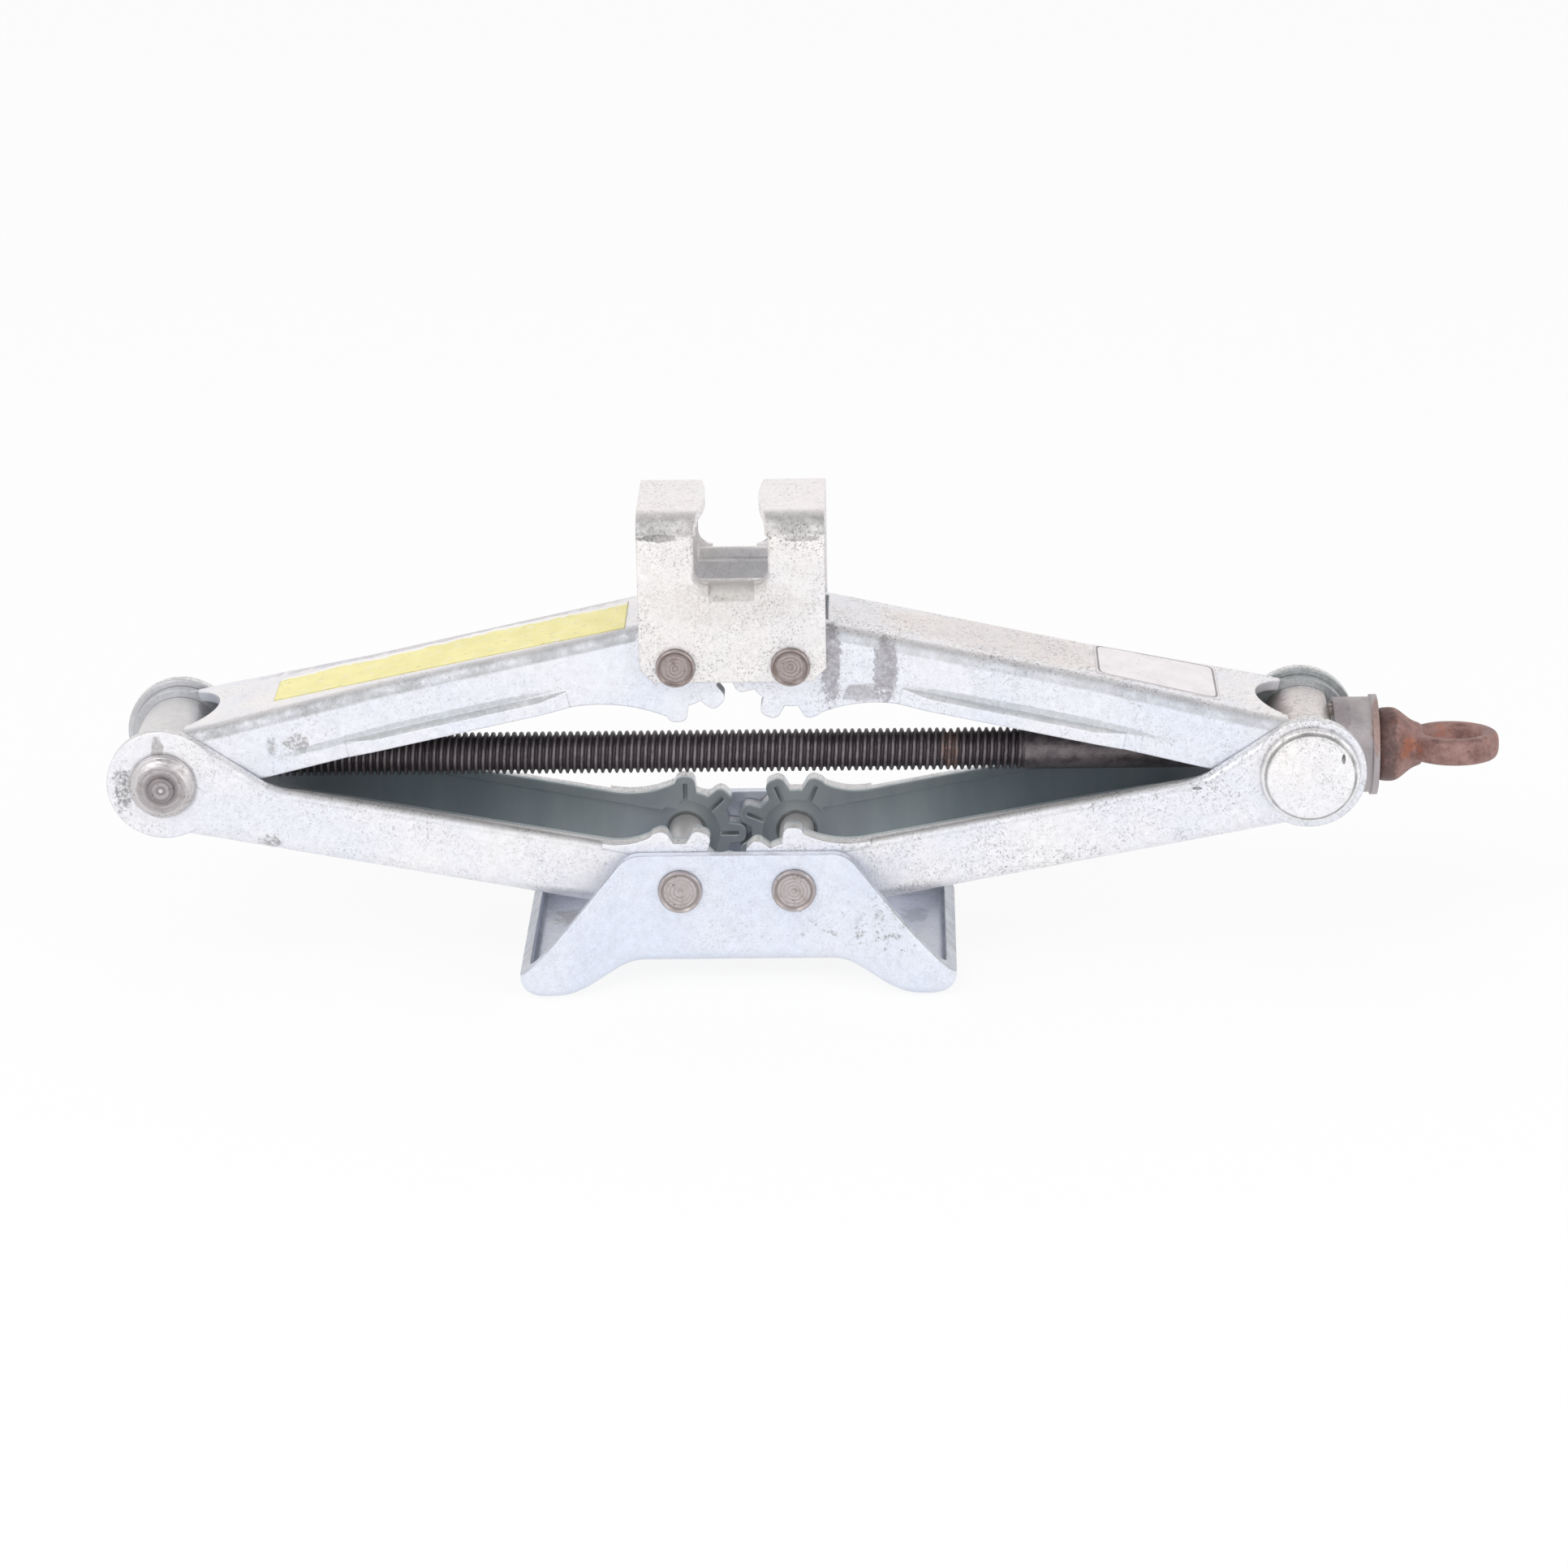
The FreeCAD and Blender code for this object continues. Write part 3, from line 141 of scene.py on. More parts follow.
def zinc_group():
    """Zinc plating: cool and warm tints, mottling, dark specks, a dusty film and painted light on top, painted shade
    on bends, a dull inside with painted shade.
    """
    tree, given, result = new_group(
        "zinc_plating", {"Specks": 0.5, "Top Specks": 0.5, "Dust And Top Light": 0.5, "Bend Shade": 0.5, "Warm": 0.3, "Inside": 1.0,
                         "Floor": 0.0},
        {"Color": "Color", "Roughness": "Float", "Height": "Float"})
    where = node(tree, "TexCoord").outputs
    place = where["Object"]
    facing = node(tree, "SeparateXYZ", {0: where["Normal"]}).outputs
    along, across = node(tree, "SeparateXYZ", {0: place}).outputs[:2]

    # The plating's own tints, mottled.
    tint = sums(tree, "ADD", given["Warm"], step(tree, cloud(tree, place, 26.0), 0.3, 0.7, -0.2, 0.2), clamp=True)
    mottle = cloud(tree, place, 380.0, 6.0, 0.7)
    grain = cloud(tree, place, 2600.0, 2.0)
    color = blend(tree, tint, COOL_ZINC, WARM_ZINC)
    shade = times(tree, step(tree, mottle, 0.25, 0.72, 0.92, 1.03), step(tree, grain, 0.3, 0.7, 0.95, 1.04))
    color = blend(tree, 1.0, color, node(tree, "CombineColor", {0: shade, 1: shade, 2: shade}).outputs[0], "MULTIPLY")

    # Dust and painted light where it lies flat, painted shade where it slopes.
    up = step(tree, facing["Z"], 0.55, 0.95)
    dust_and_top_light = times(tree, up, step(tree, cloud(tree, place, 90.0, 5.0), 0.25, 0.7, 0.35, 1.0))
    dust_and_top_light = times(tree, dust_and_top_light, given["Dust And Top Light"])
    color = blend(tree, dust_and_top_light, color, DUST_AND_TOP_LIGHT)
    # Painted shade on faces that slope up, such as bends, patchy, and rougher there.
    slant = times(tree, step(tree, facing["Z"], 0.03, 0.2), step(tree, facing["Z"], 0.98, 0.75))
    bend_shade = times(tree, slant, step(tree, cloud(tree, place, 150.0, 6.0, 0.7), 0.3, 0.65, 0.5, 1.0))
    bend_shade = times(tree, bend_shade, given["Bend Shade"])
    color = blend(tree, bend_shade, color, BEND_SHADE)

    # What is inside a channel: walls that face the middle, the underside of a web, or the floor of a trough.
    inner = times(tree, times(tree, facing["Y"], across), -120.0, clamp=True)
    upright = times(tree, given["Floor"], 60.0, clamp=True)
    under = sums(tree, "SUBTRACT", step(tree, facing["Z"], -0.3, -0.7), upright, clamp=True)
    trough = sums(tree, "LESS_THAN", sums(tree, "ABSOLUTE", across), given["Floor"])
    trough = times(tree, trough, sums(tree, "GREATER_THAN", facing["Z"], -0.2))
    inside = sums(tree, "MAXIMUM", sums(tree, "MAXIMUM", inner, under), trough)
    lip = times(tree, sums(tree, "SUBTRACT", up, trough, clamp=True), upright)
    lip = times(tree, lip, step(tree, cloud(tree, place, 210.0, 6.0, 0.7), 0.3, 0.62, 0.3, 0.85))
    color = blend(tree, lip, color, WORN_LIP)

    # Specks: hair cracks, flecks and round dots, in thick and thin places.
    thick = step(tree, cloud(tree, place, 60.0, 6.0, 0.75), 0.38, 0.62, 0.25, 1.0)
    contour = sums(tree, "ABSOLUTE", sums(tree, "SUBTRACT", cloud(tree, place, 600.0, 5.0, 0.7), 0.5))
    cracks = times(tree, step(tree, contour, 0.03, 0.006), step(tree, cloud(tree, place, 800.0), 0.46, 0.58))
    flecks = sums(tree, "MAXIMUM", cracks, step(tree, cloud(tree, place, 1350.0, 3.0, 0.65), 0.56, 0.64))
    specks = sums(tree, "MAXIMUM", times(tree, flecks, thick), dots(tree, place, 620.0, 0.17))
    amount = node(tree, "Mix", {0: up, 2: given["Specks"], 3: given["Top Specks"]}, data_type="FLOAT").outputs[0]
    amount = times(tree, amount, sums(tree, "SUBTRACT", 1.0, times(tree, inner, 0.75)))
    specks = times(tree, specks, amount)
    color = blend(tree, specks, color, SPECK)

    # The inside is dull thin plating with painted shade, deepest halfway along the arms.
    from_foot = sums(tree, "ABSOLUTE", sums(tree, "SUBTRACT", along, MM * FOOT_X))
    inside = times(tree, inside, step(tree, from_foot, 0.145, 0.120, 0.22, 1.0))
    inside = times(tree, inside, given["Inside"])
    streak = cloud(tree, stretched(tree, place, (1.0, 1.0, 0.2)), 120.0, 4.0)
    deep, shallow = blend(tree, streak, *DEEP_DULL_AND_SHADE), blend(tree, streak, *SHALLOW_DULL_AND_SHADE)
    dull = blend(tree, step(tree, from_foot, 0.085, 0.035), deep, shallow)
    color = blend(tree, inside, color, dull)

    rough = sums(tree, "ADD", step(tree, mottle, 0.3, 0.7, 0.34, 0.48), times(tree, dust_and_top_light, 0.03))
    rough = sums(tree, "ADD", rough, times(tree, bend_shade, 0.35))
    rough = sums(tree, "ADD", rough, times(tree, specks, 0.25), clamp=True)
    height = sums(tree, "ADD", times(tree, mottle, 0.5), times(tree, grain, 0.12))
    height = sums(tree, "SUBTRACT", height, times(tree, specks, 0.6))
    tree.links.new(color, result["Color"])
    tree.links.new(rough, result["Roughness"])
    tree.links.new(height, result["Height"])
    return tree


def new_metal(label, metallic, bump):
    """An empty metal: its tree, its shader's sockets, and the height socket of the bump that feeds its normal."""
    made = bpy.data.materials.new(label)
    made.use_nodes = True
    tree = made.node_tree
    shader = tree.nodes["Principled BSDF"]
    shader.inputs["Metallic"].default_value = metallic
    rounded = node(tree, "Bevel", {"Radius": EDGE_ROUND}, samples=6).outputs[0]
    relief = node(tree, "Bump", {"Strength": 0.7, "Distance": bump, "Normal": rounded})
    tree.links.new(relief.outputs[0], shader.inputs["Normal"])
    return made, tree, shader.inputs, relief.inputs["Height"]


def finished(made, tree, sockets, height, color, rough, relief):
    """The metal with its colour, roughness and relief joined to its shader."""
    tree.links.new(color, sockets["Base Color"])
    tree.links.new(rough, sockets["Roughness"])
    tree.links.new(relief, height)
    return made


def spot(tree, place, centre, reach, ragged, turn=0.0):
    """A soft blob about centre, with its edge broken by noise, and speckled where it is very ragged.

    Centre and reach are in mm; turn is the slope of the blob's length, in degrees about Y.
    """
    off = vector(tree, "SUBTRACT", place, [MM * c for c in centre])
    sloped = {"Vector": off, "Angle": math.radians(turn)}
    off = node(tree, "VectorRotate", sloped, rotation_type="Y_AXIS").outputs[0]
    away = length(tree, vector(tree, "DIVIDE", off, [MM * r for r in reach]))
    wander = times(tree, sums(tree, "SUBTRACT", cloud(tree, place, 420.0, 6.0, 0.7), 0.5), ragged)
    mask = step(tree, sums(tree, "ADD", away, wander), 1.05, 0.75)
    least = 0.25 if ragged > 2.0 else 0.7
    return times(tree, mask, step(tree, cloud(tree, place, 1000.0, 4.0), 0.4, 0.58, least, 1.0))


def stained(tree, place, color, stains):
    """The colour under stains, which are (centre, reach, ragged, colour, strength) and perhaps a turn."""
    for centre, reach, ragged, stain, strength, *turn in stains:
        mask = times(tree, spot(tree, place, centre, reach, ragged, *turn), strength)
        color = blend(tree, mask, color, stain)
    return color


def from_axis(tree, place, x, z, square=(1, 0, 1)):
    """The distance from an axis through (x, z) in mm.

    Square marks the directions square to the axis: X and Z for a pin along Y, Y and Z for the screw along X.
    """
    off = vector(tree, "SUBTRACT", place, (MM * x, 0, MM * z))
    return length(tree, vector(tree, "MULTIPLY", off, square))


def band(tree, away, inner, outer, soft):
    """A ring mask between two radii, in mm, with soft edges."""
    rise = step(tree, away, MM * (inner - soft), MM * inner)
    return times(tree, rise, step(tree, away, MM * (outer + soft), MM * outer))


def zinc_metal(label, specks, top, dust_and_top_light, bend_shade, warm, inside=1.0, floor=0.0, stains=(), rings=()):
    """Zinc plating for one pressing, with stains and painted shade marks, and dark rings of grime (x, z, inner,
    outer, soft, strength).

    Floor is half the width of a channel that opens upwards, in metres, and 0 for any other pressing.
    """
    made, tree, sockets, height = new_metal(label, 0.72, 0.05 * MM)
    group = tree.nodes.new("ShaderNodeGroup")
    group.node_tree = plating
    for name, value in (("Specks", specks), ("Top Specks", top), ("Dust And Top Light", dust_and_top_light), ("Bend Shade", bend_shade), ("Warm", warm),
                        ("Inside", inside), ("Floor", floor)):
        group.inputs[name].default_value = value
    place = own_place(tree)
    color = stained(tree, place, group.outputs["Color"], stains)
    for x, z, inner, outer, soft, strength in rings:
        ring = band(tree, from_axis(tree, place, x, z), inner, outer, soft)
        worn = step(tree, cloud(tree, place, 260.0, 5.0), 0.3, 0.6, 0.4 * strength, strength)
        color = blend(tree, times(tree, ring, worn), color, GRIME)
    return finished(made, tree, sockets, height, color, group.outputs["Roughness"], group.outputs["Height"])


def coat(node_names, material):
    """The CAD nodes named take the material in place of their plain one."""
    for name in node_names:
        solids[name].data.materials.clear()
        solids[name].data.materials.append(material)


plating = zinc_group()
foot_stains = [((2.0, -35.2, 16.0), (18.0, 6.0, 3.0), 5.0, SMUDGE, 0.6),
               ((-8.0, -35.6, 22.0), (30.0, 6.0, 8.0), 5.0, SMUDGE, 0.5),
               ((-68.0, 17.0, 14.0), (10.0, 7.5, 20.0), 1.8, (0.45, 0.40, 0.39), 0.5),
               ((30.0, 17.0, 14.0), (5.0, 7.5, 20.0), 1.8, (0.40, 0.40, 0.41), 0.4)]
foot_rings = [(x, BASE_Z, 6.0, 6.2, 0.25, 0.8) for x in (LEFT_X, RIGHT_X)]
coat(["base_plate"], zinc_metal("foot_zinc", specks=0.2, top=0.3, dust_and_top_light=0.35, bend_shade=0.55, warm=0.1, inside=0.2,
                                stains=foot_stains, rings=foot_rings))

# Four rivet pins: two hold the lower arms in the foot's ears, two hold the upper arms in the saddle.
# Turned from bar, tarnished brown on top, with the lathe's rings and a centre mark on each head.
# The foot's two are pressed into its ears here; the saddle's two go in with the saddle.

HEAD_RINGS = 5
PIN_MARK, BRIGHT_SHANK = (0.09, 0.08, 0.075), (0.80, 0.785, 0.78)


def new_mesh(label, points, *faces):
    """A mesh of points, in mm, and of arrays of faces."""
    mesh = bpy.data.meshes.new(label)
    mesh.from_pydata((points * MM).tolist(), [], [face for some in faces for face in some.tolist()])
    mesh.update()
    return mesh


def tube_faces(count, segments):
    """The faces between count rings of points, and the fans that close both ends in the two poles after them."""
    here = np.arange(segments)
    after = (here + 1) % segments
    row = np.arange(count - 1)[:, None] * segments
    quads = np.stack([row + here, row + after, row + segments + after, row + segments + here], -1).reshape(-1, 4)
    pole, end = count * segments, (count - 1) * segments
    first = np.stack([np.full(segments, pole), after, here], -1)
    last = np.stack([np.full(segments, pole + 1), end + here, end + after], -1)
    return quads, np.concatenate([first, last])


def turned_skin(along, radius, centre, axis, segments=96):
    """The points and faces of a turned piece: the outline (along, radius) swept round an axis through centre, in mm.

    Point = centre + along * axis + radius * (cos a * side + sin a * other), for a round the full circle.
    The outline starts and ends on the axis, where all its points meet in one pole.
    """
    axis = np.array(axis, float)
    side = np.array([0.0, 0.0, 1.0])
    other = np.cross(axis, side)
    angle = np.linspace(0, 2 * np.pi, segments, endpoint=False)
    rim = np.cos(angle)[:, None] * side + np.sin(angle)[:, None] * other
    rings = along[1:-1, None, None] * axis + radius[1:-1, None, None] * rim[None]
    poles = along[[0, -1], None] * axis
    points = np.concatenate([rings.reshape(-1, 3), poles]) + np.array(centre, float)
    return points, *tube_faces(len(along) - 2, segments)


def turned(label, along, radius, x, z, segments=96):
    """A smooth piece turned about an axis along Y through (x, z)."""
    mesh = new_mesh(label, *turned_skin(along, radius, (x, 0, z), (0, 1, 0), segments))
    mesh.shade_smooth()
    return mesh


def add_piece(label, mesh, material, body, replaced=()):
    """The piece put in the scene at the origin, on its body and in its material slot."""
    made = bpy.data.objects.new(label, mesh)
    scene.collection.objects.link(made)
    mesh.materials.append(material)
    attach(made, body)
    if replaced:
        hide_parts(*replaced)
    return made


def head_outline(seat, face, radius, edge, dimple):
    """Half a head's outline from its middle out: a sunk face with turned rings and a centre mark, a raised rim.

    Face = sunk - 0.05 * (1 - cos(turn of the ring)) / 2 - dimple * exp(-(r / 0.9)^2); the rim is an arc.
    """
    r = np.linspace(0.0, radius - edge, 60)
    sunk = face - 0.55 * edge
    y = sunk - 0.05 * (0.5 - 0.5 * np.cos(2 * np.pi * r * HEAD_RINGS / radius)) - dimple * np.exp(-(r / 0.9) ** 2)
    turn = np.linspace(-np.pi / 3, np.pi / 2, 12)
    rim = 0.3 * edge
    rim_r = radius - rim + rim * np.sin(turn)
    rim_y = face - rim + rim * np.cos(turn)
    return np.concatenate([y, rim_y, [seat]]), np.concatenate([r, rim_r, [radius]])


def pin_mesh(label, x, z, seat, face, radius, edge, shank, dimple):
    """A whole rivet pin along Y: a ringed head at each end of a plain shank."""
    y, r = head_outline(seat, face, radius, edge, dimple)
    along = np.concatenate([-y, [-seat], [seat], y[::-1]])
    out = np.concatenate([r, [shank], [shank], r[::-1]])
    return turned(label, along, out, x, z)


def ringed_metal(label, base, ring, rust, centres, bands, shank):
    """Turned steel: rings of two shades about each pin's axis along Y, brown patches, bands (inner, outer, colour).

    Nearer the middle than the shank's half length, in mm, the pin is brighter.
    """
    made, tree, sockets, height = new_metal(label, 0.75, 0.04 * MM)
    place = own_place(tree)
    away = from_axis(tree, place, *centres[0])
    for centre in centres[1:]:
        away = sums(tree, "MINIMUM", away, from_axis(tree, place, *centre))
    shake = times(tree, cloud(tree, place, 240.0, 4.0), 0.0011)
    rings = sums(tree, "SINE", times(tree, sums(tree, "ADD", away, shake), 6100.0))
    rings = times(tree, rings, step(tree, cloud(tree, place, 300.0), 0.35, 0.65))
    color = blend(tree, step(tree, rings, -0.8, 0.9), base, ring)
    for inner, outer, shade in bands:
        color = blend(tree, times(tree, band(tree, away, inner, outer, 0.5), 0.6), color, shade)
    color = blend(tree, step(tree, cloud(tree, place, 330.0, 6.0, 0.7), 0.47, 0.68, 0.0, 0.6), color, rust)
    marks = step(tree, cloud(tree, place, 700.0, 4.0, 0.7), 0.6, 0.68, 0.0, 0.6)
    color = blend(tree, marks, color, PIN_MARK)
    middle = sums(tree, "ABSOLUTE", node(tree, "SeparateXYZ", {0: place}).outputs["Y"])
    color = blend(tree, step(tree, middle, MM * shank, MM * (shank - 0.5), 0.0, 0.85), color, BRIGHT_SHANK)
    rough = step(tree, cloud(tree, place, 500.0, 4.0), 0.3, 0.7, 0.3, 0.55)
    relief = sums(tree, "ADD", rings, cloud(tree, place, 900.0))
    return finished(made, tree, sockets, height, color, rough, relief)


base_pin_steel = ringed_metal("base_pin_steel", base=(0.56, 0.515, 0.52), ring=(0.43, 0.385, 0.385),
                              rust=(0.34, 0.27, 0.24), centres=[(LEFT_X, BASE_Z), (RIGHT_X, BASE_Z)],
                              bands=[(4.9, 5.2, (0.20, 0.17, 0.16))], shank=26.5)
for label, x in (("base_pin_left", LEFT_X), ("base_pin_right", RIGHT_X)):
    mesh = pin_mesh(label + "_rivet", x, BASE_Z, seat=26.9, face=28.5, radius=6.15, edge=1.2, shank=5.0, dimple=0.5)
    add_piece(label + "_rivet", mesh, base_pin_steel, "base", [label])

# The two lower arms: channels open upwards, lipped along their edges, with a geared end and a disc end.
# Zinc-plated sheet; the insides are duller where the plating ran thin, with painted shade there too.

NUT_X, THRUST_X, SCREW_Z = -180.09, 140.89, 60.533
TROUGH_HALF = 19.5 * MM
BACK_SHADE = (0.34, 0.37, 0.36)
disc_stains_and_back_shade = [((-181.0, -23.5, 70.8), (1.9, 6.0, 4.6), 0.9, (0.20, 0.17, 0.155), 0.6),
               ((-191.5, -23.5, 59.5), (2.6, 6.0, 7.5), 2.6, (0.12, 0.11, 0.11), 0.7),
               ((-150.8, -23.5, 43.0), (3.2, 6.0, 2.2), 2.4, (0.16, 0.15, 0.14), 0.6),
               # The back disc's inner face, darker: painted shade.
               ((NUT_X, 19.6, SCREW_Z), (30.0, 2.4, 30.0), 0.6, (0.50, 0.50, 0.51), 0.6)]
left_rings = [(NUT_X, SCREW_Z, 9.0, 9.6, 0.6, 0.4), (LEFT_X, BASE_Z, 5.0, 5.9, 0.3, 0.9)]
coat(["lower_arm_left"], zinc_metal("lower_left_zinc", specks=0.4, top=0.7, dust_and_top_light=0.5, bend_shade=0.25, warm=0.6,
                                    floor=TROUGH_HALF, stains=disc_stains_and_back_shade, rings=left_rings))
crack_and_back_shade = [((109.5, -23.5, 56.5), (1.6, 6.0, 0.5), 0.5, (0.05, 0.05, 0.05), 0.8),
         # Painted shade on the back disc's inner face.
         ((THRUST_X, 19.6, SCREW_Z), (30.0, 2.4, 30.0), 0.6, BACK_SHADE, 0.75)]
right_rings = [(THRUST_X, SCREW_Z, 13.5, 13.9, 0.6, 0.3), (RIGHT_X, BASE_Z, 5.0, 5.9, 0.3, 0.9)]
coat(["lower_arm_right"], zinc_metal("lower_right_zinc", specks=0.6, top=0.8, dust_and_top_light=0.5, bend_shade=0.3, warm=0.6,
                                     floor=TROUGH_HALF, stains=crack_and_back_shade, rings=right_rings))

# The nut at the left: a cross bar that the screw threads into, its ends spun over outside the arms.
# Turned steel, lightly plated, with a raised button and rings on each spun boss.

boss_bands = [(0.0, 0.5, (0.85, 0.83, 0.83)), (0.8, 1.2, (0.16, 0.14, 0.145)),
              (2.6, 4.4, (0.19, 0.165, 0.175)), (7.1, 9.3, (0.76, 0.74, 0.745))]
nut_steel = ringed_metal("nut_steel", base=(0.50, 0.47, 0.48), ring=(0.40, 0.37, 0.38), rust=(0.31, 0.275, 0.265),
                         centres=[(NUT_X, SCREW_Z)], bands=boss_bands, shank=23.6)
coat(["nut_trunnion"], nut_steel)


def end_mesh(label, y, r, x, sign, segments):
    """The end of a cross bar at x: an outline from its face's middle to its seat, for the front or the back."""
    return turned(label, (sign * y)[::-sign], r[::-sign], x, SCREW_Z, segments)


def boss_mesh(label, sign):
    """The spun boss: a seat ring, a sloped shoulder, a flat ring, a groove, and a raised button with a mark."""
    r = np.array([0.0, 0.5, 1.1, 1.8, 2.9, 3.5, 3.75, 3.9, 4.3, 4.9, 6.3, 6.6, 7.2, 8.3, 8.9, 9.2, 9.25, 9.25])
    y = np.array([27.6, 27.7, 28.05, 28.3, 28.3, 28.15, 27.7, 27.1, 26.95, 27.1, 27.25, 27.2, 26.8, 25.9, 25.2,
                  24.6, 24.2, 23.75])
    fine = np.linspace(0, len(r) - 1, 120)
    r, y = np.interp(fine, np.arange(len(r)), r), np.interp(fine, np.arange(len(y)), y)
    return end_mesh(label, np.append(y, 23.72), np.append(r, 0.0), NUT_X, sign, 96)


for label, sign in (("nut_boss_front", -1), ("nut_boss_back", 1)):
    add_piece(label, boss_mesh(label, sign), nut_steel, "nut_trunnion")

# The thrust trunnion at the right: a cross bar with a flat seat for the bearing, and a broad pin pressed in each end.
# Plated steel bar; the flat heads are stamped with a low rim.

tarnish = [((140.9, 0.0, 60.5), (30.0, 40.0, 30.0), 1.0, (0.60, 0.51, 0.48), 0.45),
           ((131.5, -4.0, 66.0), (6.5, 30.0, 12.0), 1.2, (0.36, 0.29, 0.27), 0.6)]
coat(["thrust_trunnion"], zinc_metal("bar_zinc", specks=0.6, top=0.6, dust_and_top_light=0.2, bend_shade=0.6, warm=1.0, inside=0.0,
                                     stains=tarnish))
nick = [((149.8, -27.0, 66.0), (0.6, 3.0, 1.6), 0.5, (0.05, 0.05, 0.05), 0.9)]
head_zinc = zinc_metal("head_zinc", specks=0.5, top=0.5, dust_and_top_light=0.3, bend_shade=0.3, warm=0.85, inside=0.0, stains=nick,
                       rings=[(THRUST_X, SCREW_Z, 12.3, 12.8, 0.35, 0.75)])


def flat_pin_mesh(label, sign):
    """A flat-headed pin: stub, seat, rim, a step of about 1 mm to the face, and a soft edge."""
    r = np.array([0.0, 6.0, 11.2, 11.9, 12.3, 12.45, 12.5, 12.6, 13.3, 13.62, 13.7, 13.7, 13.55, 6.98, 6.98, 0.0])
    y = np.array([26.85, 26.85, 26.9, 26.82, 26.6, 26.3, 25.9, 25.75, 25.65, 25.45, 25.1, 24.0, 23.75, 23.74,
                  10.05, 10.05])
    return end_mesh(label, y, r, THRUST_X, sign, 128)


for label, sign in (("trunnion_pin_front", -1), ("trunnion_pin_back", 1)):
    add_piece(label + "_stamped", flat_pin_mesh(label, sign), head_zinc, "thrust_trunnion", [label])

# The thrust bearing between the right cross bar and the screw's collar: two races, a cage and ten balls.
# Hardened steel, ground bright, and a brass cage, under a film of old brown grease.


def greasy_metal(label, bright, grease):
    """Ground steel under patches of old grease."""
    made, tree, sockets, height = new_metal(label, 0.9, 0.03 * MM)
    place = own_place(tree)
    patch = step(tree, cloud(tree, place, 240.0, 5.0, 0.65), 0.4, 0.66)
    return finished(made, tree, sockets, height, blend(tree, patch, bright, grease),
                    step(tree, patch, 0.0, 1.0, 0.22, 0.5), cloud(tree, place, 1500.0))


race_steel = greasy_metal("race_steel", bright=(0.55, 0.55, 0.56), grease=(0.16, 0.11, 0.08))
coat(["fixed_race", "turning_race", "bearing_balls"], race_steel)
coat(["ball_cage"], greasy_metal("cage_brass", bright=(0.50, 0.36, 0.16), grease=(0.17, 0.11, 0.06)))

# The lead screw: a rolled trapezoidal thread of 2 mm pitch, plain under the collar, staked near the middle.
# Steel with a black-brown phosphate coat, worn along the crests with a painted highlight, painted glints, rusty where
# it is staked.

SCREW_START, THREAD_END, SCREW_END = -193.1, 62.4, 168.2
CREST, ROOT, PITCH = 6.0, 4.85, 2.0
STAKE_X, STAKE_DEPTH = 40.8, 0.7
PHOSPHATE = (0.056, 0.046, 0.054), (0.16, 0.135, 0.15)
CREST_WEAR_AND_HIGHLIGHT, SCREW_GLINT, STAKE_RUST = (0.34, 0.30, 0.305), (0.48, 0.44, 0.44), (0.34, 0.22, 0.18)


def screw_mesh(label):
    """The screw as one surface of turn angle and place along X.

    Radius = root + depth * tooth, where tooth is a trapezoid of (x / pitch - angle / turn), fading out at the end
    of the thread, less a dent at each stake mark. Both ends close in a pole.
    """
    segments = 40
    threaded = np.arange(SCREW_START, THREAD_END + 2.0, 0.25)
    along = np.concatenate([threaded, np.linspace(THREAD_END + 3, SCREW_END, 12)])
    angle = np.linspace(0, 2 * np.pi, segments, endpoint=False)
    x, a = np.meshgrid(along, angle, indexing="ij")
    phase = np.mod(x / PITCH - a / (2 * np.pi), 1.0)
    tooth = np.clip((0.36 - np.abs(phase - 0.5)) / 0.18, 0.0, 1.0)
    fade = np.clip((THREAD_END - x) / 3.0, 0.0, 1.0)
    radius = CREST - (CREST - ROOT) * fade * (1.0 - tooth)
    chamfer = 4.4 + (x - SCREW_START)
    radius = np.minimum(radius, chamfer)
    lobes = np.maximum(np.cos(3 * (a - 0.5)), 0.0) ** 2
    radius = radius - STAKE_DEPTH * np.exp(-((x - STAKE_X) / 1.5) ** 4) * lobes
    skin = np.stack([x, radius * np.sin(a), SCREW_Z + radius * np.cos(a)], -1).reshape(-1, 3)
    poles = np.array([[SCREW_START, 0, SCREW_Z], [SCREW_END, 0, SCREW_Z]])
    quads, fans = tube_faces(len(along), segments)
    # The angle runs the other way round here than in a turned piece, so the faces are turned over.
    return new_mesh(label, np.concatenate([skin, poles]), quads[:, [0, 3, 2, 1]], fans[:, [0, 2, 1]])


def screw_metal(label):
    """Phosphate black-brown, greyer on the crests with a painted highlight, pale painted glints, rust at the stake
    marks.
    """
    made, tree, sockets, height = new_metal(label, 0.55, 0.04 * MM)
    place = own_place(tree)
    out = from_axis(tree, place, 0.0, SCREW_Z, square=(0, 1, 1))
    patch = cloud(tree, place, 300.0, 5.0, 0.7)
    color = blend(tree, patch, *PHOSPHATE)
    # Lighter crests: wear, and a painted highlight.
    worn = step(tree, out, MM * (CREST - 0.2), MM * (CREST - 0.02))
    worn = times(tree, worn, step(tree, patch, 0.35, 0.65, 0.2, 0.9))
    color = blend(tree, times(tree, worn, 0.6), color, CREST_WEAR_AND_HIGHLIGHT)
    # Pale specks: painted glints.
    glints = step(tree, cloud(tree, place, 900.0, 3.0, 0.7), 0.64, 0.72, 0.0, 0.5)
    color = blend(tree, glints, color, SCREW_GLINT)
    color = stained(tree, place, color, [((STAKE_X, 0, SCREW_Z), (2.2, 30.0, 30.0), 3.2, STAKE_RUST, 0.6)])
    return finished(made, tree, sockets, height, color, step(tree, patch, 0.3, 0.7, 0.32, 0.55),
                    cloud(tree, place, 1200.0, 4.0))


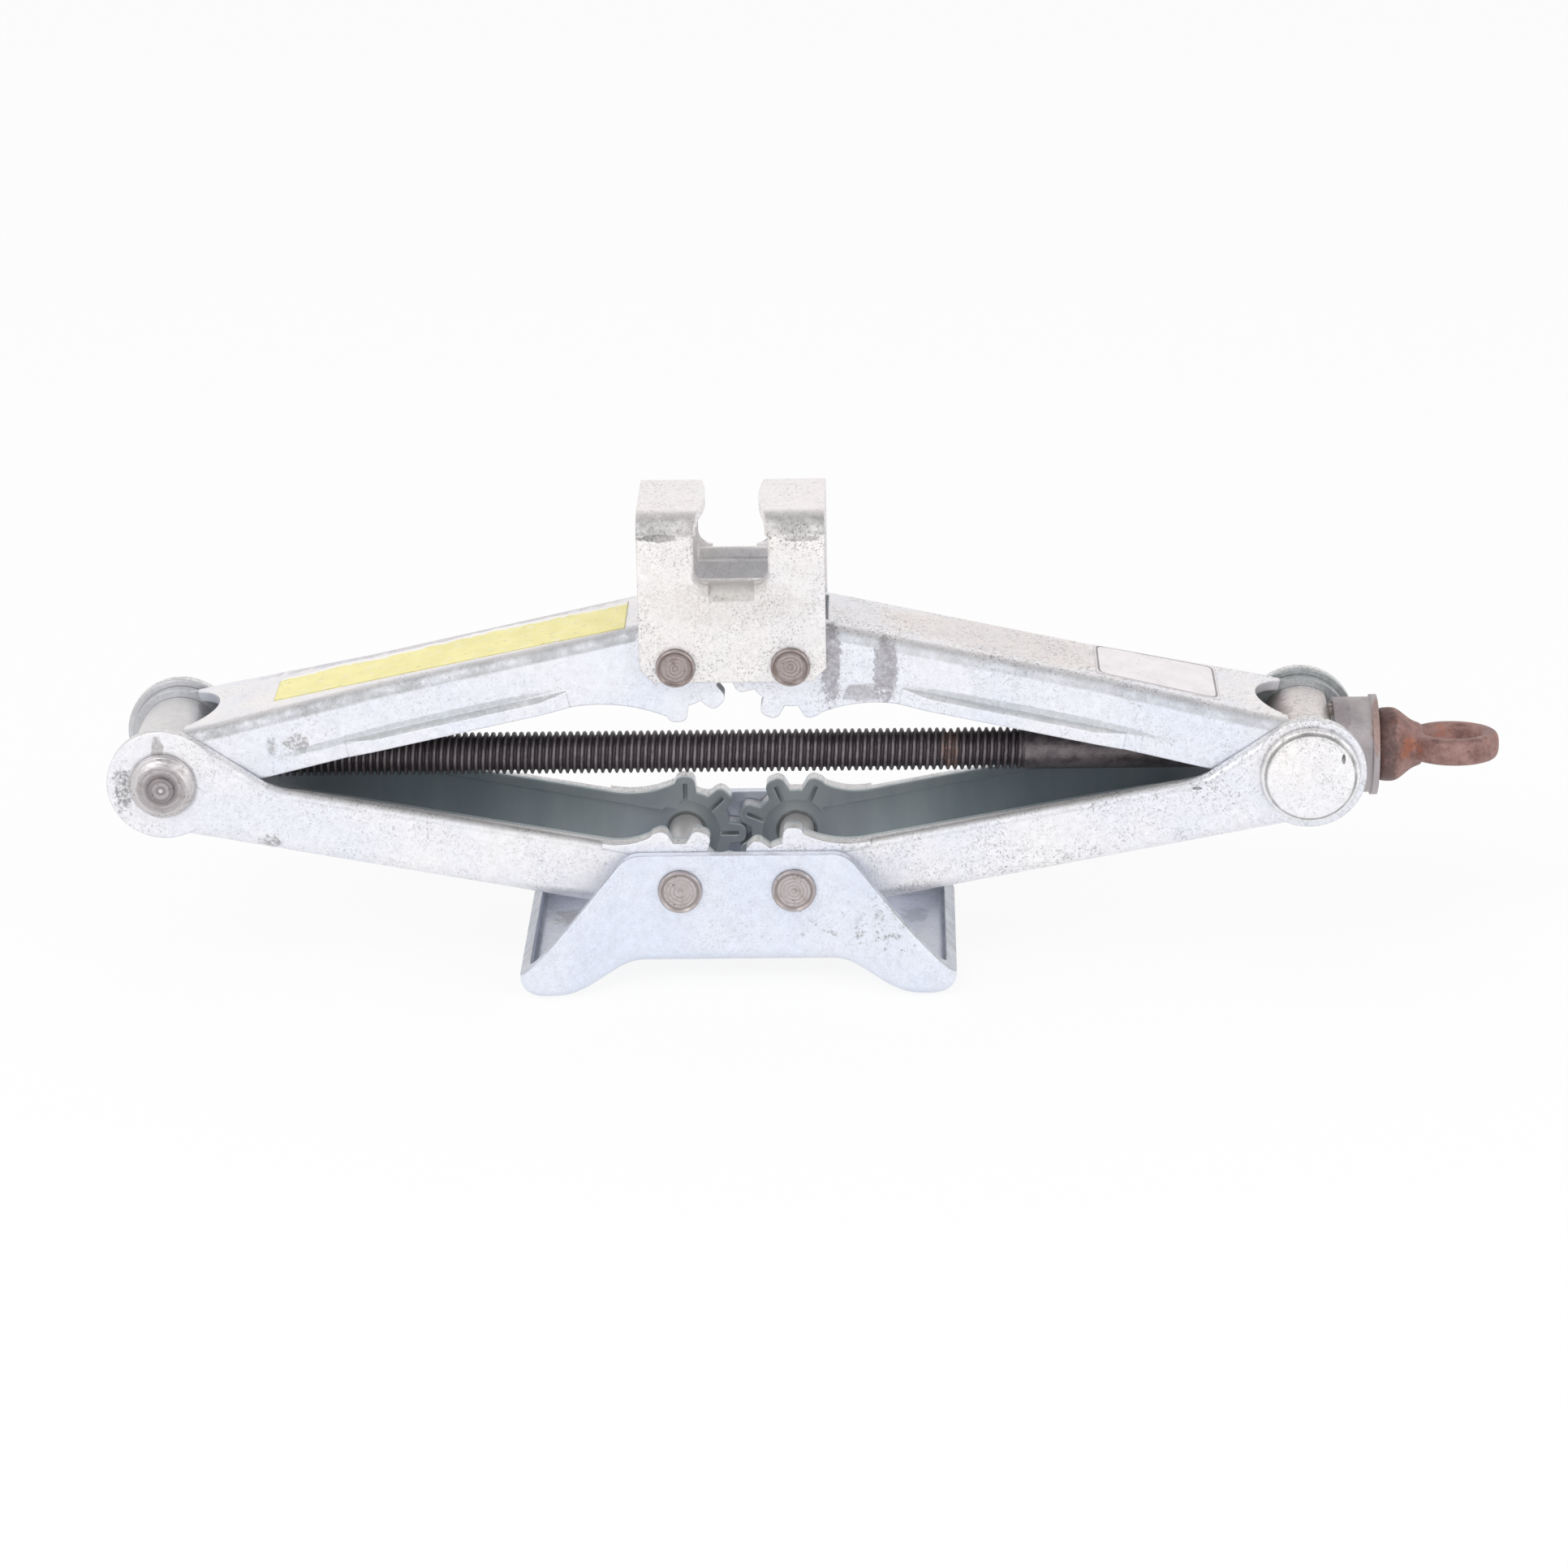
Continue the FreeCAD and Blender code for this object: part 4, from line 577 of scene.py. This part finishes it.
add_piece("lead_screw_thread", screw_mesh("lead_screw_thread"), screw_metal("screw_phosphate"), "screw",
          ["lead_screw"])

# The collar: a cup with a low rim that covers the thrust bearing and turns with the screw.
# Pressed steel, dull grey with a mauve cast, spotted with rust.

COLLAR_RUST = (0.34, 0.17, 0.12)


def weathered_metal(label, dull, pale, rust, metallic, rust_from, stains):
    """Bare steel gone dull: two shades in clouds, rust where a coarser cloud is thick, and dark pits."""
    made, tree, sockets, height = new_metal(label, metallic, 0.12 * MM)
    place = own_place(tree)
    soft = cloud(tree, place, 160.0, 6.0, 0.7)
    color = blend(tree, step(tree, soft, 0.32, 0.66), dull, pale)
    patch = step(tree, cloud(tree, place, 110.0, 7.0, 0.75), rust_from, rust_from + 0.09)
    color = blend(tree, times(tree, patch, 0.8), color, rust)
    pits = step(tree, cloud(tree, place, 520.0, 5.0, 0.75), 0.58, 0.68)
    color = blend(tree, times(tree, pits, 0.55), color, [0.4 * c for c in dull])
    color = stained(tree, place, color, stains)
    relief = sums(tree, "SUBTRACT", cloud(tree, place, 600.0, 5.0), times(tree, pits, 0.6))
    return finished(made, tree, sockets, height, color, step(tree, soft, 0.3, 0.7, 0.42, 0.68), relief)


collar_stains = [((150.5, -4.0, 73.0), (3.0, 12.0, 9.0), 1.8, (0.30, 0.26, 0.27), 0.6),
                 ((160.4, -9.0, 69.0), (1.5, 12.0, 9.0), 1.6, COLLAR_RUST, 0.6)]
coat(["thrust_collar"], weathered_metal("collar_grey", dull=(0.41, 0.37, 0.38), pale=(0.51, 0.47, 0.48),
                                        rust=COLLAR_RUST, metallic=0.5, rust_from=0.59, stains=collar_stains))

# The drive eye at the screw's end: a forged ring on a necked flange, where a hooked crank turns the screw.
# Forged steel, rusted brown in patches, pitted, and black with soot round the flange.

EYE_X, EYE_HOLE, EYE_REACH, EYE_HALF = 182.89, 8.0, 13.0, 3.8
EYE_TURN = math.radians(6.0)


def eye_ring(around=96, section=40):
    """The ring's points and faces: a rounded oblong section carried round the hole, leaning a little about X.

    Section = middle radius + half width * c, half height * d, with (c, d) on a superellipse of power 3.
    """
    a, b = np.meshgrid(np.linspace(0, 2 * np.pi, around, endpoint=False),
                       np.linspace(0, 2 * np.pi, section, endpoint=False), indexing="ij")
    c = np.sign(np.cos(b)) * np.abs(np.cos(b)) ** (2 / 3)
    d = np.sign(np.sin(b)) * np.abs(np.sin(b)) ** (2 / 3)
    radius = (EYE_REACH + EYE_HOLE) / 2 + (EYE_REACH - EYE_HOLE) / 2 * c
    x, y, z = EYE_X + radius * np.cos(a), radius * np.sin(a), EYE_HALF * d
    leaning_y = y * math.cos(EYE_TURN) + z * math.sin(EYE_TURN)
    leaning_z = -y * math.sin(EYE_TURN) + z * math.cos(EYE_TURN)
    points = np.stack([x, leaning_y, SCREW_Z + leaning_z], -1).reshape(-1, 3)
    index = np.arange(around * section).reshape(around, section)
    ahead = np.roll(index, -1, 0)
    return points, np.stack([index, ahead, np.roll(ahead, -1, 1), np.roll(index, -1, 1)], -1).reshape(-1, 4)


def eye_mesh(label):
    """The forging: the ring and a turned neck, an S curve from flange to ring, in one mesh."""
    x = np.array([161.25, 161.25, 162.2, 164.6, 166.2, 167.6, 169.2, 170.8, 172.4, 173.8, 174.3, 174.4])
    r = np.array([0.0, 9.4, 10.3, 10.5, 10.4, 9.7, 8.4, 7.1, 6.3, 5.9, 4.6, 0.0])
    neck, *neck_faces = turned_skin(x, r, (0, 0, SCREW_Z), (1, 0, 0))
    ring, ring_faces = eye_ring()
    return new_mesh(label, np.concatenate([neck, ring]), *neck_faces, ring_faces + len(neck))


flange_soot = [((162.6, 0.0, SCREW_Z), (4.6, 30.0, 30.0), 1.4, (0.075, 0.05, 0.048), 0.75)]
eye_rust = weathered_metal("eye_rust", dull=(0.185, 0.093, 0.081), pale=(0.385, 0.232, 0.21),
                           rust=(0.40, 0.155, 0.095), metallic=0.25, rust_from=0.53, stains=flange_soot)
eye_forging = add_piece("drive_eye_forging", eye_mesh("drive_eye_forging"), eye_rust, "screw",
                        ["drive_eye"])
skin = eye_forging.modifiers.new("skin", "REMESH")
skin.mode = "VOXEL"
skin.voxel_size = 0.45 * MM
skin.use_smooth_shade = True
soften = eye_forging.modifiers.new("soften", "SMOOTH")
soften.factor = 0.5
soften.iterations = 12

# The two upper arms: channels open downwards, flared where they join the trunnions, a bead along each wall.
# Zinc-plated sheet with painted shade along the bends, beads and back walls' insides; grease has run down the right
# arm under the saddle.

RESIDUE, DRIP, BEAD_SHADE = (0.30, 0.27, 0.31), (0.27, 0.25, 0.27), (0.42, 0.45, 0.46)
left_stains_and_shade = [((-142.5, -18.0, 70.6), (3.4, 6.0, 3.2), 2.6, (0.34, 0.32, 0.32), 0.75),
               ((-149.5, -18.0, 70.0), (1.6, 6.0, 3.0), 2.6, (0.28, 0.27, 0.27), 0.6),
               ((-95.0, 13.4, 88.0), (62.0, 3.4, 40.0), 1.6, RESIDUE, 0.35),
               # Painted shade on the back wall's inner face by the nut.
               ((NUT_X, 18.3, SCREW_Z), (26.0, 2.6, 26.0), 0.5, (0.46, 0.46, 0.47), 0.7),
               ((-109.8, -17.5, 75.7), (44.0, 6.0, 1.5), 0.5, BEAD_SHADE, 0.6, 13.1)]
coat(["upper_arm_left"], zinc_metal("upper_left_zinc", specks=0.3, top=0.25, dust_and_top_light=0.9, bend_shade=0.7, warm=0.35,
                                    stains=left_stains_and_shade))
right_stains_and_shade = [((7.6, -16.5, 92.0), (3.0, 7.0, 13.5), 1.9, DRIP, 0.75),
                ((23.0, -16.5, 90.0), (3.6, 7.0, 10.5), 1.9, DRIP, 0.75),
                ((16.0, -16.5, 83.5), (6.0, 7.0, 3.0), 1.5, DRIP, 0.6),
                ((58.0, 2.0, 92.0), (40.0, 15.0, 40.0), 1.9, (0.74, 0.65, 0.61), 0.4),
                ((THRUST_X, 18.3, SCREW_Z), (26.0, 2.6, 26.0), 0.5, BACK_SHADE, 0.75),
                ((64.4, -17.5, 77.2), (40.0, 6.0, 1.5), 0.5, BEAD_SHADE, 0.6, -12.3)]
coat(["upper_arm_right"], zinc_metal("upper_right_zinc", specks=0.4, top=0.8, dust_and_top_light=0.85, bend_shade=0.55, warm=0.35,
                                     stains=right_stains_and_shade))

# Two blank labels on the upper arms' webs: a long yellow strip, torn along its top, and a short white plate.
# Printed film, here with nothing printed, stuck on the plating and rubbed.

ARM_TILT, SADDLE_Z = math.radians(12.5), 92.566
WEB_TOP, WEB_HALF, WEB_BEND = 12.6, 16.5, 4.0
FLARE_START, FLARE_LENGTH, FLARE_WIDTH = 88.0, 42.0, 3.6
FILM_TOP, FILM_UNDER = 0.16, 0.02
FILM_SPECK, FILM_LINE = (0.16, 0.14, 0.12), (0.09, 0.08, 0.085)


def on_web(side, u, y, proud):
    """Points on an upper arm's web, u along the arm from the saddle pin and y across, following the bend.

    (x, z) = pin + (side * (u cos t + v sin t), v cos t - u sin t), for the arm's tilt t. The height v over the arm's
    axis falls off as sqrt(bend^2 - over^2), where y is over the start of the bend.
    """
    half = WEB_HALF + np.clip((u - FLARE_START) / FLARE_LENGTH, 0.0, 1.0) * FLARE_WIDTH
    over = np.clip(np.abs(y) - (half - WEB_BEND), 0.0, WEB_BEND * 0.98)
    v = WEB_TOP + proud - WEB_BEND + np.sqrt(WEB_BEND ** 2 - over ** 2)
    start = LEFT_X if side < 0 else RIGHT_X
    x = start + side * (u * math.cos(ARM_TILT) + v * math.sin(ARM_TILT))
    z = SADDLE_Z - u * math.sin(ARM_TILT) + v * math.cos(ARM_TILT)
    return np.stack([x, y, z], -1).reshape(-1, 3)


def film_mesh(label, side, u, low, high):
    """A label as a thin shell: a grid of u along the arm and a share from its low edge to its high edge."""
    count, rows = len(u), 40
    share = np.linspace(0, 1, rows)
    uu = np.repeat(u[:, None], rows, 1)
    yy = low[:, None] + (high - low)[:, None] * share[None]
    points = np.concatenate([on_web(side, uu, yy, FILM_TOP), on_web(side, uu, yy, FILM_UNDER)])
    index = np.arange(count * rows).reshape(count, rows)
    upper = np.stack([index[:-1, :-1], index[1:, :-1], index[1:, 1:], index[:-1, 1:]], -1).reshape(-1, 4)
    lower = upper[:, ::-1] + count * rows
    ring = np.concatenate([index[:, 0], index[-1, 1:], index[-2::-1, -1], index[0, -2:0:-1]])
    after = np.roll(ring, -1)
    wall = np.stack([after, ring, ring + count * rows, after + count * rows], -1)
    faces = np.concatenate([upper, lower, wall])
    if side < 0:
        faces = faces[:, ::-1]
    mesh = new_mesh(label, points, faces)
    shares = np.stack([(uu - u.min()) / (u.max() - u.min()), np.broadcast_to(share, uu.shape)], -1).reshape(-1, 2)
    loops = np.empty(len(mesh.loops), int)
    mesh.loops.foreach_get("vertex_index", loops)
    mesh.uv_layers.new(name="across").data.foreach_set("uv", np.concatenate([shares, shares])[loops].ravel())
    return mesh


def film(label, ground, worn, torn, border):
    """Label film: faded ground with rubs, scratches and specks, worn or torn to white at its high edge.

    Torn is the share of the height that is lost; the border is a rounded line along the edges.
    """
    made, tree, sockets, height = new_metal(label, 0.0, 0.04 * MM)
    place = own_place(tree)
    shares = node(tree, "SeparateXYZ", {0: node(tree, "UVMap", uv_map="across").outputs[0]}).outputs
    faded = cloud(tree, place, 140.0, 5.0)
    color = blend(tree, step(tree, faded, 0.3, 0.7, 0.0, 0.6), ground, [0.82 * c + 0.05 for c in ground])
    ragged = times(tree, sums(tree, "SUBTRACT", cloud(tree, place, 260.0, 6.0, 0.75), 0.5), 0.35)
    edge = step(tree, sums(tree, "ADD", shares["Y"], ragged), 1.0 - torn, 1.04 - torn)
    color = blend(tree, edge, color, worn)
    rubs = step(tree, cloud(tree, stretched(tree, place, (0.25, 1.0, 1.0)), 900.0, 4.0), 0.58, 0.66, 0.0, 0.6)
    color = blend(tree, rubs, color, worn)
    specks = step(tree, cloud(tree, place, 640.0, 4.0, 0.7), 0.62, 0.7, 0.0, 0.55)
    color = blend(tree, specks, color, FILM_SPECK)
    if border:
        offs = [sums(tree, "SUBTRACT", times(tree, shares[name], 2.0), 1.0) for name in "XY"]
        powers = [sums(tree, "POWER", sums(tree, "ABSOLUTE", off), 14.0) for off in offs]
        out = sums(tree, "ADD", *powers)
        line = times(tree, step(tree, out, 0.36, 0.44), step(tree, out, 0.72, 0.6))
        color = blend(tree, times(tree, line, 0.75), color, FILM_LINE)
    return finished(made, tree, sockets, height, color, step(tree, faded, 0.3, 0.7, 0.34, 0.5),
                    sums(tree, "SUBTRACT", faded, times(tree, rubs, 0.4)))


tear = np.random.default_rng(7)
strip_start, strip_end = 11.6, 113.8
strip_u = np.linspace(strip_start, strip_end, 240)
wander = np.convolve(tear.normal(0, 1, 300), np.ones(9) / 9, "same")[:240]
strip_low = np.interp(strip_u, [strip_start, 72.0, strip_end], [-13.6, -11.0, -9.4]) + 0.12 * wander
strip_high = np.interp(strip_u, [strip_start, 52.0, 75.0, 102.0, strip_end], [9.6, 11.4, 10.0, 10.2, 9.2])
strip_high = strip_high + 1.1 * wander
yellow = film("yellow_film", ground=(0.93, 0.85, 0.36), worn=(0.92, 0.90, 0.88), torn=0.13, border=False)
add_piece("yellow_strip", film_mesh("yellow_strip", -1, strip_u, strip_low, strip_high), yellow,
          "upper_arm_left")
plate_ends = [84.6, 120.0]
plate_u = np.linspace(*plate_ends, 90)
plate_low = np.interp(plate_u, plate_ends, [-10.6, -13.0])
plate_high = np.interp(plate_u, plate_ends, [13.4, 14.6])
white = film("white_film", ground=(0.88, 0.835, 0.85), worn=(0.76, 0.71, 0.70), torn=-0.2, border=True)
add_piece("white_plate", film_mesh("white_plate", 1, plate_u, plate_low, plate_high), white,
          "upper_arm_right")

# The saddle: an inverted channel with a notch that takes a car sill's seam, riveted to both upper arms.
# Zinc-plated sheet, with two short dark lines and a warmer face where it has borne on the car, painted shade on its
# bends and in the hollow under the notch.

saddle_marks_and_notch_shade = [((-39.8, -19.6, 130.2), (6.0, 4.0, 1.2), 1.9, (0.08, 0.08, 0.085), 0.8),
          ((0.0, -19.6, 129.8), (6.0, 4.0, 1.0), 1.9, (0.12, 0.12, 0.12), 0.6),
          # These two paint shade in the hollow below the notch.
          ((-20.5, -18.0, 115.6), (13.0, 5.0, 3.2), 0.9, (0.42, 0.41, 0.395), 0.7),
          ((-20.0, -19.6, 111.0), (23.0, 6.0, 7.0), 2.3, (0.58, 0.54, 0.49), 0.4),
          ((-19.6, -19.6, 104.0), (34.0, 6.0, 40.0), 1.2, (0.78, 0.745, 0.73), 0.4)]
saddle_rings = [(x, SADDLE_Z, 5.2, 5.45, 0.25, 0.8) for x in (LEFT_X, RIGHT_X)]
coat(["saddle"], zinc_metal("saddle_zinc", specks=0.9, top=0.4, dust_and_top_light=0.9, bend_shade=0.8, warm=0.9, inside=0.0,
                            stains=saddle_marks_and_notch_shade, rings=saddle_rings))
saddle_pin_steel = ringed_metal("saddle_pin_steel", base=(0.46, 0.40, 0.39), ring=(0.30, 0.25, 0.24),
                                rust=(0.23, 0.16, 0.135), centres=[(LEFT_X, SADDLE_Z), (RIGHT_X, SADDLE_Z)],
                                bands=[(4.3, 4.6, (0.14, 0.11, 0.10))], shank=19.5)
for label, x in (("saddle_pin_left", LEFT_X), ("saddle_pin_right", RIGHT_X)):
    mesh = pin_mesh(label + "_rivet", x, SADDLE_Z, seat=19.9, face=21.5, radius=5.4, edge=1.1, shank=4.5, dimple=0.35)
    add_piece(label + "_rivet", mesh, saddle_pin_steel, "saddle", [label])

# The studio: a white floor, a white surround that is dimmer overhead, and two soft lamps.
# Floor and surround look white to the camera and in reflections, and light the jack as a pale room would.

FLOOR_HALF, FLOOR_Z = 6000.0, -0.2
WHITE = (1.0, 1.0, 1.0, 1.0)
LAMP_AIM, LAMP_SIZE = Vector((0.0, 0.0, 0.06)), 0.9


def looked_at(tree):
    """1 for what is seen, straight or in a reflection, and 0 for what only lights the scene."""
    rays = node(tree, "LightPath").outputs
    return sums(tree, "MAXIMUM", rays["Is Camera Ray"], rays["Is Glossy Ray"])


floor_corners = np.array([(-1, -1), (1, -1), (1, 1), (-1, 1)]) * FLOOR_HALF
floor_mesh = new_mesh("floor", np.column_stack([floor_corners, np.full(4, FLOOR_Z)]), np.array([[0, 1, 2, 3]]))
floor = bpy.data.objects.new("floor", floor_mesh)
scene.collection.objects.link(floor)
floor_paint = bpy.data.materials.new("floor_paint")
floor_paint.use_nodes = True
tree = floor_paint.node_tree
paint = tree.nodes["Principled BSDF"]
paint.inputs["Base Color"].default_value = (0.92, 0.92, 0.92, 1.0)
paint.inputs["Roughness"].default_value = 0.9
glow = node(tree, "Emission", {"Color": WHITE, "Strength": 1.0}).outputs[0]
mixed = node(tree, "MixShader", {0: times(tree, looked_at(tree), 0.86), 1: paint.outputs[0], 2: glow}).outputs[0]
tree.links.new(mixed, tree.nodes["Material Output"].inputs["Surface"])
floor_mesh.materials.append(floor_paint)

world = bpy.data.worlds.new("studio")
scene.world = world
world.use_nodes = True
tree = world.node_tree
overhead = node(tree, "SeparateXYZ", {0: node(tree, "TexCoord").outputs["Generated"]}).outputs["Z"]
surround = step(tree, overhead, 0.55, 0.9, 1.0, 0.3)
lit = node(tree, "Mix", {0: looked_at(tree), 2: 0.8, 3: surround}, data_type="FLOAT").outputs[0]
tree.nodes["Background"].inputs["Color"].default_value = WHITE
tree.links.new(lit, tree.nodes["Background"].inputs["Strength"])

for label, stand, watts in (("key", Vector((-0.9, -1.1, 1.3)), 9.5), ("fill", Vector((1.2, -0.9, 0.8)), 5.0)):
    lamp = bpy.data.lights.new(label, "AREA")
    lamp.energy = watts
    lamp.size = LAMP_SIZE
    lamp_object = bpy.data.objects.new(label, lamp)
    lamp_object.location = stand
    lamp_object.rotation_euler = (LAMP_AIM - stand).to_track_quat("-Z", "Y").to_euler()
    scene.collection.objects.link(lamp_object)

# The camera, nearly square to the long side, looking down on it from 1.44 m, and rolled by a degree.
# Its lens gives the scale, in pixels to the millimetre at the target, of a picture of the width given.

CAMERA_AWAY, PIXELS_TO_MM, PICTURE_WIDTH, SENSOR_WIDTH = 1440, 4.33, 1932, 36
fall, swing, roll = math.radians(20.5), math.radians(-1.5), math.radians(-1.1)
target = Vector((-0.00652, 0, 0.05025))
forward = Vector((math.sin(swing) * math.cos(fall), math.cos(swing) * math.cos(fall), -math.sin(fall)))
right = Vector((math.cos(swing), -math.sin(swing), 0))
up = right.cross(forward)
right, up = math.cos(roll) * right + math.sin(roll) * up, -math.sin(roll) * right + math.cos(roll) * up
stand = target - MM * CAMERA_AWAY * forward
camera = bpy.data.objects.new("camera", bpy.data.cameras.new("camera"))
scene.collection.objects.link(camera)
camera.matrix_world = Matrix(((right.x, up.x, -forward.x, stand.x), (right.y, up.y, -forward.y, stand.y),
                              (right.z, up.z, -forward.z, stand.z), (0, 0, 0, 1)))
camera.data.sensor_width = SENSOR_WIDTH
camera.data.lens = SENSOR_WIDTH * PIXELS_TO_MM * CAMERA_AWAY / PICTURE_WIDTH
camera.data.clip_start = 0.05
scene.camera = camera
